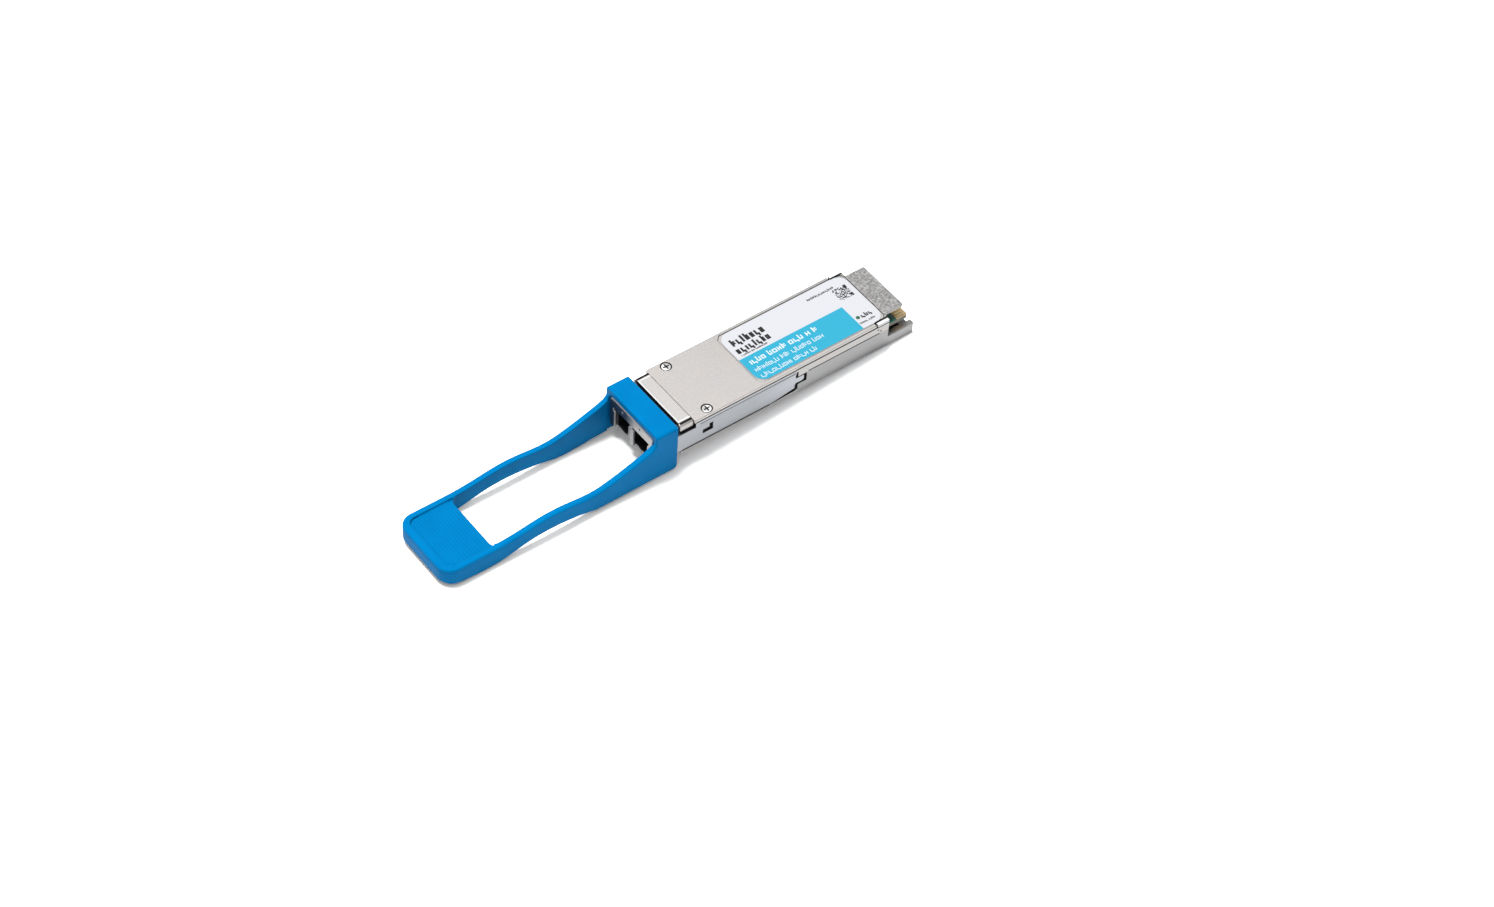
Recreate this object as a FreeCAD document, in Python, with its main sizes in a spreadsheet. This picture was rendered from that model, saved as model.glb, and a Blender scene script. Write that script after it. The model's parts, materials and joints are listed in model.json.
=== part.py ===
import FreeCAD, Part
import os, math
import Sketcher
from FreeCAD import Vector, Placement, Rotation

# Pluggable optical transceiver module with a duplex fibre nose and a pull tab.
# Frame: X along the module, +X towards the host (card edge) end, +Y left, +Z up.
# Origin: on the bottom face, on the centre line, at the front stop plane, where
# the wide body ends and the narrower nose begins.

os.makedirs("parts", exist_ok=True)
doc = FreeCAD.newDocument("optical_module")
sheet = doc.addObject("Spreadsheet::Sheet", "dims")

# Driving dimensions, mm. Endings: _w full width in Y, _t thickness, _r radius;
# _x, _y, _z a place on that axis, with 0 and 1 for its lower and upper limits.
DIMENSIONS = {
    # outer envelope
    "body_w": 18.35, "body_tall": 8.5, "wall_end": 57.4, "tongue_end": 65.0, "tongue_z": 2.8,
    "nose_x": -6.9, "nose_w": 15.7, "nose_z0": -0.6, "nose_z1": 7.9,
    "strip_len": 3.5, "strip_w": 17.2, "strip_z": 6.15,
    # inner room, in three widths
    "floor_z": 0.9, "room_front": 3.5, "room_w1": 12.4, "room_x1": 11.0,
    "room_w2": 15.2, "room_x2": 36.0, "room_w3": 16.4,
    # cover
    "cover_t": 0.8, "cover_x0": 3.6, "cover_x1": 53.7, "cover_w2": 16.2, "cover_x2": 57.5,
    "hood_w": 14.3, "hood_x": 62.9,
    # cover screws
    "screw_x": 7.93, "screw_y": 7.5, "screw_head_r": 1.15, "screw_shank_r": 0.68,
    "screw_hole_r": 0.7, "screw_tip_z": 5.9, "ring_gap": 0.18,
    # fibre ports and the keyway below each
    "port_pitch": 6.25, "port_axis_z": 2.7, "port_y0": 0.85, "port_y1": 6.1, "port_z1": 4.98,
    "port_ear": 0.45, "ear_z": 4.25, "key_r": 1.5, "key_z": 1.6, "lobe_t": 0.3, "face_t": 0.6,
    # moulded receptacle insert
    "insert_w": 12.5, "insert_z0": 0.1, "insert_z1": 6.3, "insert_step_z": 0.7,
    "insert_x0": -6.25, "insert_x1": 2.9, "bore_w": 4.7,
    # slider arms
    "arm_y0": 8.62, "arm_t": 0.45, "arm_z0": 0.9, "arm_z1": 6.1, "arm_ramp_x": 24.5,
    "arm_end": 31.4, "arm_ramp_z": 2.0, "tip_end": 33.7, "tip_z0": 3.35, "tip_z1": 5.05,
    "bridge_x0": -5.6, "bridge_x1": -1.6, "bridge_z0": 8.5,
    "arm_window_x0": 5.9, "arm_window_x1": 8.7, "arm_window_z0": 3.0, "arm_window_z1": 5.2,
    "arm_window_mid_x": 7.7, "arm_window_mid_z": 4.2, "lance_x0": 7.25, "lance_y": 7.3,
    # channels and pockets for the arms in the housing sides
    "channel_y": 8.57, "channel_z0": 0.8, "channel_z1": 6.2, "channel_end": 31.95,
    "latch_end": 34.4, "latch_z0": 2.85, "latch_z1": 5.3, "latch_y": 8.1,
    "gap_z1": 6.5, "gap_y": 8.1,
    # return springs and their pockets
    "spring_x0": 1.3, "spring_x1": 7.2, "spring_y": 7.8, "spring_z": 4.3,
    "spring_wire": 0.22, "spring_dia": 1.44, "spring_coils": 9,
    "pocket_x0": 1.2, "pocket_x1": 8.9, "pocket_z0": 3.4, "pocket_z1": 5.2, "pocket_y": 6.97,
    # pull tab
    "tab_w": 18.8, "tab_arm_t": 1.4, "collar_x0": -6.75, "collar_x1": -1.0,
    "collar_z0": -3.4, "collar_z1": 9.5, "collar_in_w": 16.7, "collar_in_z": 8.0,
    "tab_window_x0": -48.5, "grip_end": -61.5, "grip_r": 3.5,
    "thumb_x0": -59.7, "thumb_w": 16.0, "thumb_z": 0.45,
    "rib_count": 13, "rib_len": 0.40, "rib_tall": 0.2,
    # optical sub-assemblies (OSA): transmitter (TOSA) and receiver (ROSA)
    "barrel_x0": -2.6, "barrel_r": 1.45, "sleeve_x0": -2.2, "sleeve_x1": 1.8, "sleeve_r": 0.8,
    "ferrule_r": 0.625, "stub_r": 1.0, "stub_x1": 5.0, "flange_x0": 3.6, "flange_x1": 4.4,
    "flange_r": 1.74, "neck_r": 1.6, "osa_x0": 8.2, "osa_w": 5.5, "osa_z0": 1.2, "osa_z1": 5.2,
    "tosa_x1": 21.2, "rosa_x1": 19.2, "lid_t": 0.4,
    "saddle_x0": 5.2, "saddle_x1": 6.4, "cradle_r": 1.7,
    # circuit board, its contacts, locating posts and clock recovery (CDR) chips
    "pcb_x0": 22.6, "pcb_x1": 36.8, "pcb_x2": 63.9, "pcb_w1": 14.8, "pcb_w2": 16.1,
    "pcb_z0": 4.5, "pcb_z1": 5.5,
    "finger_pitch": 0.8, "finger_w": 0.54, "finger_x0": 61.1, "finger_x1": 63.55,
    "finger_t": 0.04, "post_x": 52.5, "post_y": 7.3, "post_r": 0.45, "post_hole_r": 0.5,
    "cdr_x0": 40.2, "cdr_x1": 45.2, "cdr_y0": 1.2, "cdr_y1": 6.2, "cdr_z": 3.6,
    "pedestal_z": 3.2,
    # label
    "label_x0": 22.15, "label_x1": 57.05, "label_w": 16.2, "label_t": 0.1, "label_r": 2.6,
    "label_dip": 0.14, "label_rim": 0.3,
}
for row, (alias, size) in enumerate(DIMENSIONS.items(), 1):
    sheet.set("A%d" % row, alias)
    sheet.set("B%d" % row, str(size))
    sheet.setAlias("B%d" % row, alias)
doc.recompute()


# ---------------------------------------------------------------- lengths
class Length:
    """A length that carries both its value and its spreadsheet expression."""
    def __init__(self, value, expression=None):
        self.value = float(value)
        self.expression = expression or repr(round(self.value, 6))
        self.bound = "dims." in self.expression

    @staticmethod
    def of(size):
        return size if isinstance(size, Length) else Length(size)

    def _join(self, sign, other, value):
        return Length(value, "(%s %s %s)" % (self.expression, sign, other.expression))

    def __add__(self, other):
        other = Length.of(other)
        return self._join("+", other, self.value + other.value)

    def __sub__(self, other):
        other = Length.of(other)
        return self._join("-", other, self.value - other.value)

    def __mul__(self, other):
        other = Length.of(other)
        return self._join("*", other, self.value * other.value)

    def __rmul__(self, other):
        return Length.of(other) * self

    def __truediv__(self, other):
        other = Length.of(other)
        return self._join("/", other, self.value / other.value)

    def __neg__(self):
        return Length(-self.value, "(-1 * %s)" % self.expression)


class Dimensions:
    """Gives each spreadsheet alias as a Length."""
    def __getattr__(self, alias):
        return Length(DIMENSIONS[alias], "dims." + alias)


def bind(item, prop, length):
    if length.bound:
        item.setExpression(prop, length.expression)


def across(half):
    """Y span centred on the module."""
    return -half, half


def flank(side, inner, outer):
    """Y span on the left (side 1) or right (side -1) of the module."""
    return (inner, outer) if side > 0 else (-outer, -inner)


def symmetric(points):
    """Closed XY outline from its half, given as (x, half width) along X."""
    return [(x, -y) for x, y in points] + [(x, y) for x, y in reversed(points)]


# ---------------------------------------------------------------- sketch drawing
def line(x0, y0, x1, y1):
    return Part.LineSegment(Vector(x0, y0, 0), Vector(x1, y1, 0))


def datum(sk, kind, refs, length):
    """Add a dimensional constraint, driven by the spreadsheet where it can be."""
    index = sk.addConstraint(Sketcher.Constraint(kind, *refs, length.value))
    bind(sk, "Constraints[%d]" % index, length)


def pin_point(sk, geo, pos, x, y):
    for place, kind, axis in ((x, "DistanceX", -2), (y, "DistanceY", -1)):
        place = Length.of(place)
        if abs(place.value) < 1e-9 and not place.bound:
            sk.addConstraint(Sketcher.Constraint("PointOnObject", geo, pos, axis))
        else:
            datum(sk, kind, (-1, 1, geo, pos), place)


def polygon(sk, points):
    points = [(Length.of(x), Length.of(y)) for x, y in points]
    count = len(points)
    first = sk.GeometryCount
    ends = zip(points, points[1:] + points[:1])
    sk.addGeometry([line(a[0].value, a[1].value, b[0].value, b[1].value) for a, b in ends], False)
    for i in range(count):
        after = first + (i + 1) % count
        sk.addConstraint(Sketcher.Constraint("Coincident", first + i, 2, after, 1))
    for i, (x, y) in enumerate(points):
        pin_point(sk, first + i, 1, x, y)


def rect(sk, x0, x1, y0, y1):
    polygon(sk, [(x0, y0), (x1, y0), (x1, y1), (x0, y1)])


def circle(sk, x, y, radius):
    x, y, radius = Length.of(x), Length.of(y), Length.of(radius)
    disc = Part.Circle(Vector(x.value, y.value, 0), Vector(0, 0, 1), radius.value)
    geo = sk.addGeometry(disc, False)
    pin_point(sk, geo, 3, x, y)
    datum(sk, "Radius", (geo,), radius)


def circles(sk, radius, centres):
    for x, y in centres:
        circle(sk, x, y, radius)


def ring(sk, x, y, outer, inner):
    circle(sk, x, y, outer)
    circle(sk, x, y, inner)


def arch(sk, half, low, top, radius):
    """Closed arch, symmetric about the sketch's vertical axis, with rounded upper corners."""
    half, low, top, radius = (Length.of(size) for size in (half, low, top, radius))
    side, foot, crown, bend = half.value, low.value, top.value, radius.value
    flat, spring_line = side - bend, crown - bend

    def corner(x, start):
        bow = Part.Circle(Vector(x, spring_line, 0), Vector(0, 0, 1), bend)
        return Part.ArcOfCircle(bow, start, start + math.pi / 2)

    first = sk.GeometryCount
    sk.addGeometry([
        line(-side, foot, side, foot),
        line(side, foot, side, spring_line),
        corner(flat, 0),
        line(flat, crown, -flat, crown),
        corner(-flat, math.pi / 2),
        line(-side, spring_line, -side, foot)], False)
    sk.addConstraint(Sketcher.Constraint("Coincident", first, 2, first + 1, 1))
    sk.addConstraint(Sketcher.Constraint("Coincident", first + 5, 2, first, 1))
    for i in (1, 2, 3, 4):
        sk.addConstraint(Sketcher.Constraint("Tangent", first + i, 2, first + i + 1, 1))
    sk.addConstraint(Sketcher.Constraint("Horizontal", first + 3))
    for i in (1, 5):
        sk.addConstraint(Sketcher.Constraint("Vertical", first + i))
    pin_point(sk, first, 1, -half, low)
    pin_point(sk, first, 2, half, low)
    datum(sk, "DistanceY", (-1, 1, first + 3, 1), top)
    for i in (2, 4):
        datum(sk, "Radius", (first + i,), radius)


# ---------------------------------------------------------------- solid features
pieces = []


def node(name):
    """Start a piece. It may hold several separate solids."""
    body = doc.addObject("PartDesign::Body", name)
    body.AllowCompound = True
    pieces.append(body)
    return body


def sketch(body, plane, offset):
    sk = body.newObject("Sketcher::SketchObject", body.Name + "_sk")
    base = [f for f in body.Origin.OriginFeatures if f.Role == plane + "_Plane"][0]
    sk.AttachmentSupport = [(base, "")]
    sk.MapMode = "FlatFace"
    sk.AttachmentOffset = Placement(Vector(0, 0, offset.value), Rotation())
    bind(sk, "AttachmentOffset.Base.z", offset)
    return sk


def extrude(body, kind, suffix, sk, length):
    feature = body.newObject(kind, body.Name + suffix)
    feature.Profile = sk
    feature.Length = length.value
    bind(feature, "Length", length)
    body.Tip = feature
    doc.recompute()
    return feature


def pad(body, plane, low, high, draw, *shape):
    """Add draw(sketch, *shape), from low to high along the axis normal to the plane."""
    low, high = Length.of(low), Length.of(high)
    # the XZ plane's normal is -Y
    sk = sketch(body, plane, -high if plane == "XZ" else low)
    draw(sk, *shape)
    before = body.Shape.Volume if body.Tip is not None else 0.0
    feature = extrude(body, "PartDesign::Pad", "_pad", sk, high - low)
    if body.Shape.isNull() or body.Shape.Volume < before + 1e-9:
        raise RuntimeError("pad added nothing: " + feature.Name)
    return feature


def cut(body, plane, low, high, draw, *shape):
    """Remove draw(sketch, *shape), from low to high along the axis normal to the plane."""
    low, high = Length.of(low), Length.of(high)
    sk = sketch(body, plane, -low if plane == "XZ" else high)
    draw(sk, *shape)
    before = body.Shape.Volume
    feature = extrude(body, "PartDesign::Pocket", "_cut", sk, high - low)
    if body.Shape.isNull() or body.Shape.Volume > before - 1e-9:
        raise RuntimeError("pocket cut nothing: " + feature.Name)


def box(body, x0, x1, y0, y1, z0, z1):
    pad(body, "XY", z0, z1, rect, x0, x1, y0, y1)


def hollow(body, x0, x1, y0, y1, z0, z1):
    cut(body, "XY", z0, z1, rect, x0, x1, y0, y1)


def blocks(name, *boxes):
    """A piece made only of boxes, each (x0, x1, y0, y1, z0, z1)."""
    body = node(name)
    for limits in boxes:
        box(body, *limits)
    return body


def near(a, b, tolerance=1e-3):
    return abs(a - Length.of(b).value) < tolerance


def ends_at(**where):
    """Edge test: both ends lie at these coordinates. abs_y accepts either side."""
    def test(edge):
        if len(edge.Vertexes) != 2:
            return False
        for key, want in where.items():
            ends = [vertex.Point["xyz".index(key[-1])] for vertex in edge.Vertexes]
            if not near(*ends):
                return False
            if key.startswith("abs"):
                ends = [abs(end) for end in ends]
            if not all(near(end, want) for end in ends):
                return False
        return True
    return test


def dress(body, kind, size, pick, required=False):
    """Fillet or chamfer the edges that pick() accepts."""
    base = body.Tip
    edges = ["Edge%d" % i for i, edge in enumerate(base.Shape.Edges, 1) if pick(edge)]
    if not edges:
        if required:
            raise RuntimeError("no edges found on " + body.Name)
        return
    size = Length.of(size)
    feature = body.newObject("PartDesign::" + kind, body.Name + "_" + kind.lower())
    feature.Base = (base, edges)
    prop = "Radius" if kind == "Fillet" else "Size"
    setattr(feature, prop, size.value)
    bind(feature, prop, size)
    body.Tip = feature
    doc.recompute()
    shape = feature.Shape
    # Guards against an edge treatment the kernel can't build: the piece stays plain there.
    if (shape.isNull() or not shape.isValid() or shape.Volume < 1e-9
            or "Invalid" in feature.State or "Error" in feature.State):
        body.Tip = base
        doc.removeObject(feature.Name)
        doc.recompute()


# ---------------------------------------------------------------- shared places
dims = Dimensions()
SIDES = (1, -1)
body_half = dims.body_w / 2
strip_half = dims.strip_w / 2
nose_half = dims.nose_w / 2
insert_half = dims.insert_w / 2
tab_half = dims.tab_w / 2
port_y = dims.port_pitch / 2
arm_outer = dims.arm_y0 + dims.arm_t
bridge_top = dims.bridge_z0 + dims.arm_t
seam_z = dims.body_tall - dims.cover_t      # where the cover lies on the walls
outside = body_half + 0.5                   # clear of the housing sides, for cuts
step = 0.1                                  # overlap of features that must join
PORTS = [(port_y, dims.port_axis_z), (-port_y, dims.port_axis_z)]       # (y, z)
SCREWS = [(dims.screw_x, dims.screw_y), (dims.screw_x, -dims.screw_y)]  # (x, y)
POSTS = [(dims.post_x, dims.post_y), (dims.post_x, -dims.post_y)]       # (x, y)


# ---------------------------------------------------------------- base housing
def housing_shell(body):
    box(body, 0, dims.wall_end, *across(body_half), 0, seam_z)
    box(body, 0, dims.strip_len, *across(strip_half), seam_z - 0.1, dims.body_tall)
    box(body, dims.nose_x, 0, *across(nose_half), dims.nose_z0, dims.nose_z1)
    box(body, dims.wall_end - 0.5, dims.tongue_end, *across(body_half), 0, dims.tongue_z)
    notch_end = dims.strip_len + 0.4
    for side in SIDES:
        # the upper body steps in beside the front strip
        hollow(body, -0.5, dims.strip_len, *flank(side, strip_half, outside),
               dims.strip_z, seam_z + 0.5)
        # shadow gap under the strip, and the small notch behind it
        hollow(body, -0.5, notch_end, *flank(side, dims.gap_y, outside),
               dims.strip_z - 0.05, dims.gap_z1)
        hollow(body, dims.strip_len, notch_end, *flank(side, strip_half - 0.1, outside),
               dims.gap_z1 - 0.05, seam_z + 0.5)
        # seam between the base and the cover
        hollow(body, dims.strip_len + 0.3, dims.cover_x1 + 0.5,
               *flank(side, strip_half + 0.35, outside), seam_z - 0.15, seam_z + 0.5)

    def nose_top(edge):
        bounds = edge.BoundBox
        return (near(bounds.ZMin, dims.nose_z1) and near(bounds.ZMax, dims.nose_z1)
                and near(abs(bounds.YMin), nose_half) and near(abs(bounds.YMax), nose_half)
                and bounds.YLength < 0.01)

    # strip shoulders, nose shoulders, tongue corners, bottom edges
    dress(body, "Fillet", 0.75, ends_at(abs_y=strip_half, z=dims.body_tall), True)
    dress(body, "Fillet", 1.1, nose_top)
    dress(body, "Fillet", 0.5, ends_at(abs_y=body_half, x=dims.tongue_end))
    dress(body, "Fillet", 0.35, ends_at(abs_y=body_half, z=0.0))


def housing_room(body):
    # inner room in three widths, widest towards the host end
    for x0, x1, width in (
            (dims.room_front, dims.room_x1, dims.room_w1),
            (dims.room_x1, dims.room_x2, dims.room_w2),
            (dims.room_x2, dims.wall_end, dims.room_w3)):
        hollow(body, x0, x1 + 0.1, *across(width / 2), dims.floor_z, seam_z + 1)
    # the tongue keeps two rails and a lower floor between them
    hollow(body, dims.wall_end - 0.1, dims.tongue_end + 1, *across(7.7), 1.1, dims.tongue_z + 1)
    # cross wall below the board where it leaves the housing
    box(body, dims.wall_end - 1.2, dims.wall_end, *across(dims.room_w3 / 2 + step),
        dims.floor_z - step, dims.pcb_z0 - 0.1)
    # raised wall ends beside the narrow part of the cover
    raised_z = 8.42
    for side in SIDES:
        box(body, dims.cover_x1 + 0.5, dims.wall_end,
            *flank(side, dims.cover_w2 / 2 + 0.28, body_half), seam_z - 0.1, raised_z)


def housing_ports(body):
    front, face_back = dims.nose_x - 0.5, dims.nose_x + dims.face_t
    # metal face frame, with room for the moulded receptacle behind it
    fit = insert_half + 0.05
    hollow(body, face_back, 0.02, *across(fit), -0.25, dims.insert_z1 + 0.05)
    hollow(body, -0.05, dims.room_front + 0.1, *across(fit),
           dims.insert_step_z - 0.05, dims.insert_z1 + 0.05)
    # each opening widens near its top and is open below, where the rounded keyway hangs
    below = -1.5
    inner_ear, outer_ear = dims.port_y0 - dims.port_ear, dims.port_y1 + dims.port_ear
    opening = [(dims.port_y0, below), (dims.port_y1, below), (dims.port_y1, dims.ear_z),
               (outer_ear, dims.ear_z), (outer_ear, dims.port_z1), (inner_ear, dims.port_z1),
               (inner_ear, dims.ear_z), (dims.port_y0, dims.ear_z)]
    for side in SIDES:
        cut(body, "YZ", front, face_back + 0.05, polygon, [(side * y, z) for y, z in opening])
        hollow(body, front, -4.5, *flank(side, dims.port_y0, dims.port_y1), below, -0.2)
    dress(body, "Chamfer", 0.35, ends_at(x=dims.nose_x, z=dims.port_z1))
    dress(body, "Fillet", 0.4, ends_at(x=dims.nose_x, abs_y=nose_half))
    # small blind hole low on the divider
    cut(body, "YZ", front, dims.nose_x + 0.35, circle, 0.5, 0.42, 0.2)
    # triangle marks above the ports: the left one points up, the right one down
    mark_half, mark_z0, mark_z1 = 0.42, 6.4, 7.1
    for centre, base_z, apex_z in ((port_y, mark_z0, mark_z1), (-port_y, mark_z1, mark_z0)):
        cut(body, "YZ", front, dims.nose_x + 0.12, polygon,
            [(centre - mark_half, base_z), (centre + mark_half, base_z), (centre, apex_z)])


def housing_sides(body):
    channel = [(-0.5, dims.channel_z0), (24.3, dims.channel_z0), (dims.channel_end - 0.5, 1.15),
               (dims.channel_end, 1.5), (dims.channel_end, dims.channel_z1),
               (-0.5, dims.channel_z1)]
    dimples = [(54.4, 6.7), (55.2, 6.05)]   # (x, z)
    for side in SIDES:
        # channel for the slider arm, and the latch pockets at its end
        cut(body, "XZ", *flank(side, dims.channel_y, outside), polygon, channel)
        latch_span = flank(side, dims.latch_y, outside)
        hollow(body, dims.channel_end - 0.02, dims.latch_end, *latch_span,
               dims.latch_z0, dims.latch_z1)
        hollow(body, dims.arm_end + 0.05, dims.channel_end, *latch_span,
               dims.channel_z1 - 0.05, 6.9)
        # spring pocket behind the arm
        hollow(body, dims.pocket_x0, dims.pocket_x1,
               *flank(side, dims.pocket_y, dims.channel_y + 0.2), dims.pocket_z0, dims.pocket_z1)
        # fine groove along the rear of the side, with two dimples at its end
        groove_span = flank(side, body_half - 0.28, outside)
        hollow(body, 34.8, 54.9, *groove_span, 5.45, 5.62)
        cut(body, "XZ", *groove_span, circles, 0.22, dimples)


def housing_fittings(body):
    # holes for the cover screws
    cut(body, "XY", dims.screw_tip_z - 0.25, seam_z + 1, circles, dims.screw_hole_r, SCREWS)
    # grooves for the gasket cords
    for side in SIDES:
        hollow(body, 9.6, 53.2, *flank(side, 8.5, 8.9), seam_z - 0.3, seam_z + 0.5)
    # saddle with two half-round cradles for the optical barrels
    join_z = dims.floor_z - step
    pad(body, "YZ", dims.saddle_x0, dims.saddle_x1, rect,
        *across(dims.room_w1 / 2 + step), join_z, dims.port_axis_z)
    cut(body, "YZ", dims.saddle_x0 - 0.05, dims.saddle_x1 + 0.05, circles, dims.cradle_r, PORTS)
    # two board ledges and a chip pedestal on each side, then the locating posts
    for side in SIDES:
        box(body, 27.0, 31.0, *flank(side, 6.7, dims.room_w2 / 2 + step), join_z, dims.pcb_z0)
        box(body, 50.8, 54.2, *flank(side, 6.5, dims.room_w3 / 2 + step), join_z, dims.pcb_z0)
        box(body, dims.cdr_x0, dims.cdr_x1, *flank(side, dims.cdr_y0, dims.cdr_y1),
            join_z, dims.pedestal_z)
    pad(body, "XY", dims.pcb_z0 - step, dims.pcb_z1 - 0.1, circles, dims.post_r, POSTS)


def base_housing():
    body = node("base_housing")
    housing_shell(body)
    housing_room(body)
    housing_ports(body)
    housing_sides(body)
    housing_fittings(body)


# ---------------------------------------------------------------- cover and what goes with it
def top_cover():
    body = node("top_cover")
    top, narrow, hood = dims.body_tall, dims.cover_w2 / 2, dims.hood_w / 2
    pad(body, "XY", seam_z, top, polygon, symmetric([
        (dims.cover_x0, body_half), (dims.cover_x1, body_half), (dims.cover_x1, narrow),
        (dims.cover_x2, narrow), (dims.cover_x2, hood), (dims.hood_x, hood)]))

    at_hood_root = ends_at(x=dims.cover_x2)

    def hood_rim(edge):
        bounds = edge.BoundBox
        return (bounds.ZMin > top.value - 1e-3 and bounds.XMin > dims.cover_x2.value - 0.01
                and not at_hood_root(edge))

    dress(body, "Fillet", 0.25, ends_at(z=top, abs_y=body_half))
    dress(body, "Fillet", 0.45, ends_at(abs_y=hood, x=dims.hood_x))
    dress(body, "Fillet", 0.18, hood_rim)
    # cross rib above the board and locating skirts inside the walls
    box(body, dims.wall_end - 1.15, dims.wall_end - 0.05, *across(8.1),
        dims.pcb_z1 + 0.12, seam_z + step)
    for side in SIDES:
        for x0, x1, inner, outer in ((12.0, 21.0, 6.95, 7.5), (38.0, 50.0, 7.55, 8.1)):
            box(body, x0, x1, *flank(side, inner, outer), seam_z - 0.7, seam_z + step)
    # shallow dip that the label is laid into, with clipped corners
    dip_x0, dip_x1 = dims.label_x0 - dims.label_rim, dims.label_x1 + dims.label_rim
    dip_half = dims.label_w / 2 + dims.label_rim
    clip = 1.1
    cut(body, "XY", top - dims.label_dip, top + 0.5, polygon, symmetric([
        (dip_x0, dip_half - clip), (dip_x0 + clip, dip_half),
        (dip_x1 - clip, dip_half), (dip_x1, dip_half - clip)]))
    # screw holes, and the recesses for the heads
    cut(body, "XY", seam_z - 0.5, top + 0.5, circles, 0.75, SCREWS)
    cut(body, "XY", top - 0.5, top + 0.5, circles, dims.screw_head_r + dims.ring_gap, SCREWS)


def cover_screws():
    body = node("cover_screws")
    top = dims.body_tall
    pad(body, "XY", top - 0.49, top - 0.02, circles, dims.screw_head_r, SCREWS)
    pad(body, "XY", dims.screw_tip_z, top - 0.45, circles, dims.screw_shank_r, SCREWS)
    dress(body, "Fillet", 0.16, lambda edge: edge.BoundBox.ZMin > top.value - 0.03)
    # cross recess: half width and reach of its arms
    half, reach = 0.16, 0.62
    cross = [(-half, -reach), (half, -reach), (half, -half), (reach, -half),
             (reach, half), (half, half), (half, reach), (-half, reach),
             (-half, half), (-reach, half), (-reach, -half), (-half, -half)]
    for screw_x, screw_y in SCREWS:
        cut(body, "XY", top - 0.36, top + 0.2, polygon,
            [(screw_x + x, screw_y + y) for x, y in cross])


def product_label():
    half, low = dims.label_w / 2, dims.body_tall - dims.label_dip
    body = blocks("product_label",
                  (dims.label_x0, dims.label_x1, *across(half), low, low + dims.label_t))
    front_corner = ends_at(x=dims.label_x0, abs_y=half)
    rear_corner = ends_at(x=dims.label_x1, abs_y=half)
    dress(body, "Fillet", dims.label_r,
          lambda edge: front_corner(edge) or rear_corner(edge), True)


def cover_emi_gasket():
    """Two cords under the cover's long edges."""
    blocks("cover_emi_gasket",
           *[(9.7, 53.1, *flank(side, 8.52, 8.88), seam_z - 0.29, seam_z) for side in SIDES])


# ---------------------------------------------------------------- moulded duplex receptacle
def lc_receptacle():
    front = dims.insert_x0 - 0.5
    keyway_end = -1.2
    bore_half = dims.bore_w / 2
    bore_z0, bore_z1 = dims.port_axis_z - bore_half, dims.port_axis_z + bore_half
    body = blocks(
        "lc_receptacle",
        (dims.insert_x0, -0.06, *across(insert_half), dims.insert_z0, dims.insert_z1),
        (-0.2, dims.insert_x1, *across(insert_half), dims.insert_step_z, dims.insert_z1))
    # rounded lobes round the keyways
    for centre, _ in PORTS:
        pad(body, "YZ", dims.insert_x0, -0.3, circle,
            centre, dims.key_z, dims.key_r + dims.lobe_t)
    for centre, axis_z in PORTS:
        # square bore, and the rounded keyway for the plug's latch
        cut(body, "YZ", front, 1.9, rect, centre - bore_half, centre + bore_half, bore_z0, bore_z1)
        cut(body, "YZ", front, keyway_end, circle, centre, dims.key_z, dims.key_r)
        # round passage for the optical barrel
        cut(body, "YZ", 1.5, dims.insert_x1 + 0.5, circle, centre, axis_z, dims.barrel_r + 0.1)
        # latch catch shoulders beside the keyway
        for y0 in (centre + (dims.key_r - 0.05), centre - dims.key_r - 0.45):
            hollow(body, -3.4, keyway_end, y0, y0 + 0.5, 0.2, bore_z0 + 0.2)


# ---------------------------------------------------------------- optical sub-assemblies
def optical_barrel(tag, centre):
    """Stepped barrel on a port axis, with the ferrule sleeve and fibre stub inside."""
    axis = (centre, dims.port_axis_z)
    body = node(tag + "_barrel")
    for x0, x1, radius in (
            (dims.barrel_x0, dims.flange_x0 + step, dims.barrel_r),
            (dims.flange_x0, dims.flange_x1, dims.flange_r),
            (dims.flange_x1 - step, 7.3, dims.neck_r),
            (7.2, dims.osa_x0, 1.7)):
        pad(body, "YZ", x0, x1, circle, *axis, radius)
    cut(body, "YZ", dims.barrel_x0 - 0.1, dims.sleeve_x1, circle, *axis, dims.sleeve_r)
    cut(body, "YZ", dims.sleeve_x1 - 0.05, dims.stub_x1, circle, *axis, dims.stub_r)
    dress(body, "Chamfer", 0.2, lambda edge: (edge.BoundBox.XMax < dims.barrel_x0.value + 1e-3
                                              and edge.BoundBox.YLength > 2.5))
    pad(node(tag + "_ferrule_sleeve"), "YZ", dims.sleeve_x0, dims.sleeve_x1, ring,
        *axis, dims.sleeve_r, dims.ferrule_r)
    pad(node(tag + "_fiber_stub"), "YZ", dims.sleeve_x1, dims.stub_x1, circle,
        *axis, dims.stub_r)


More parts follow.
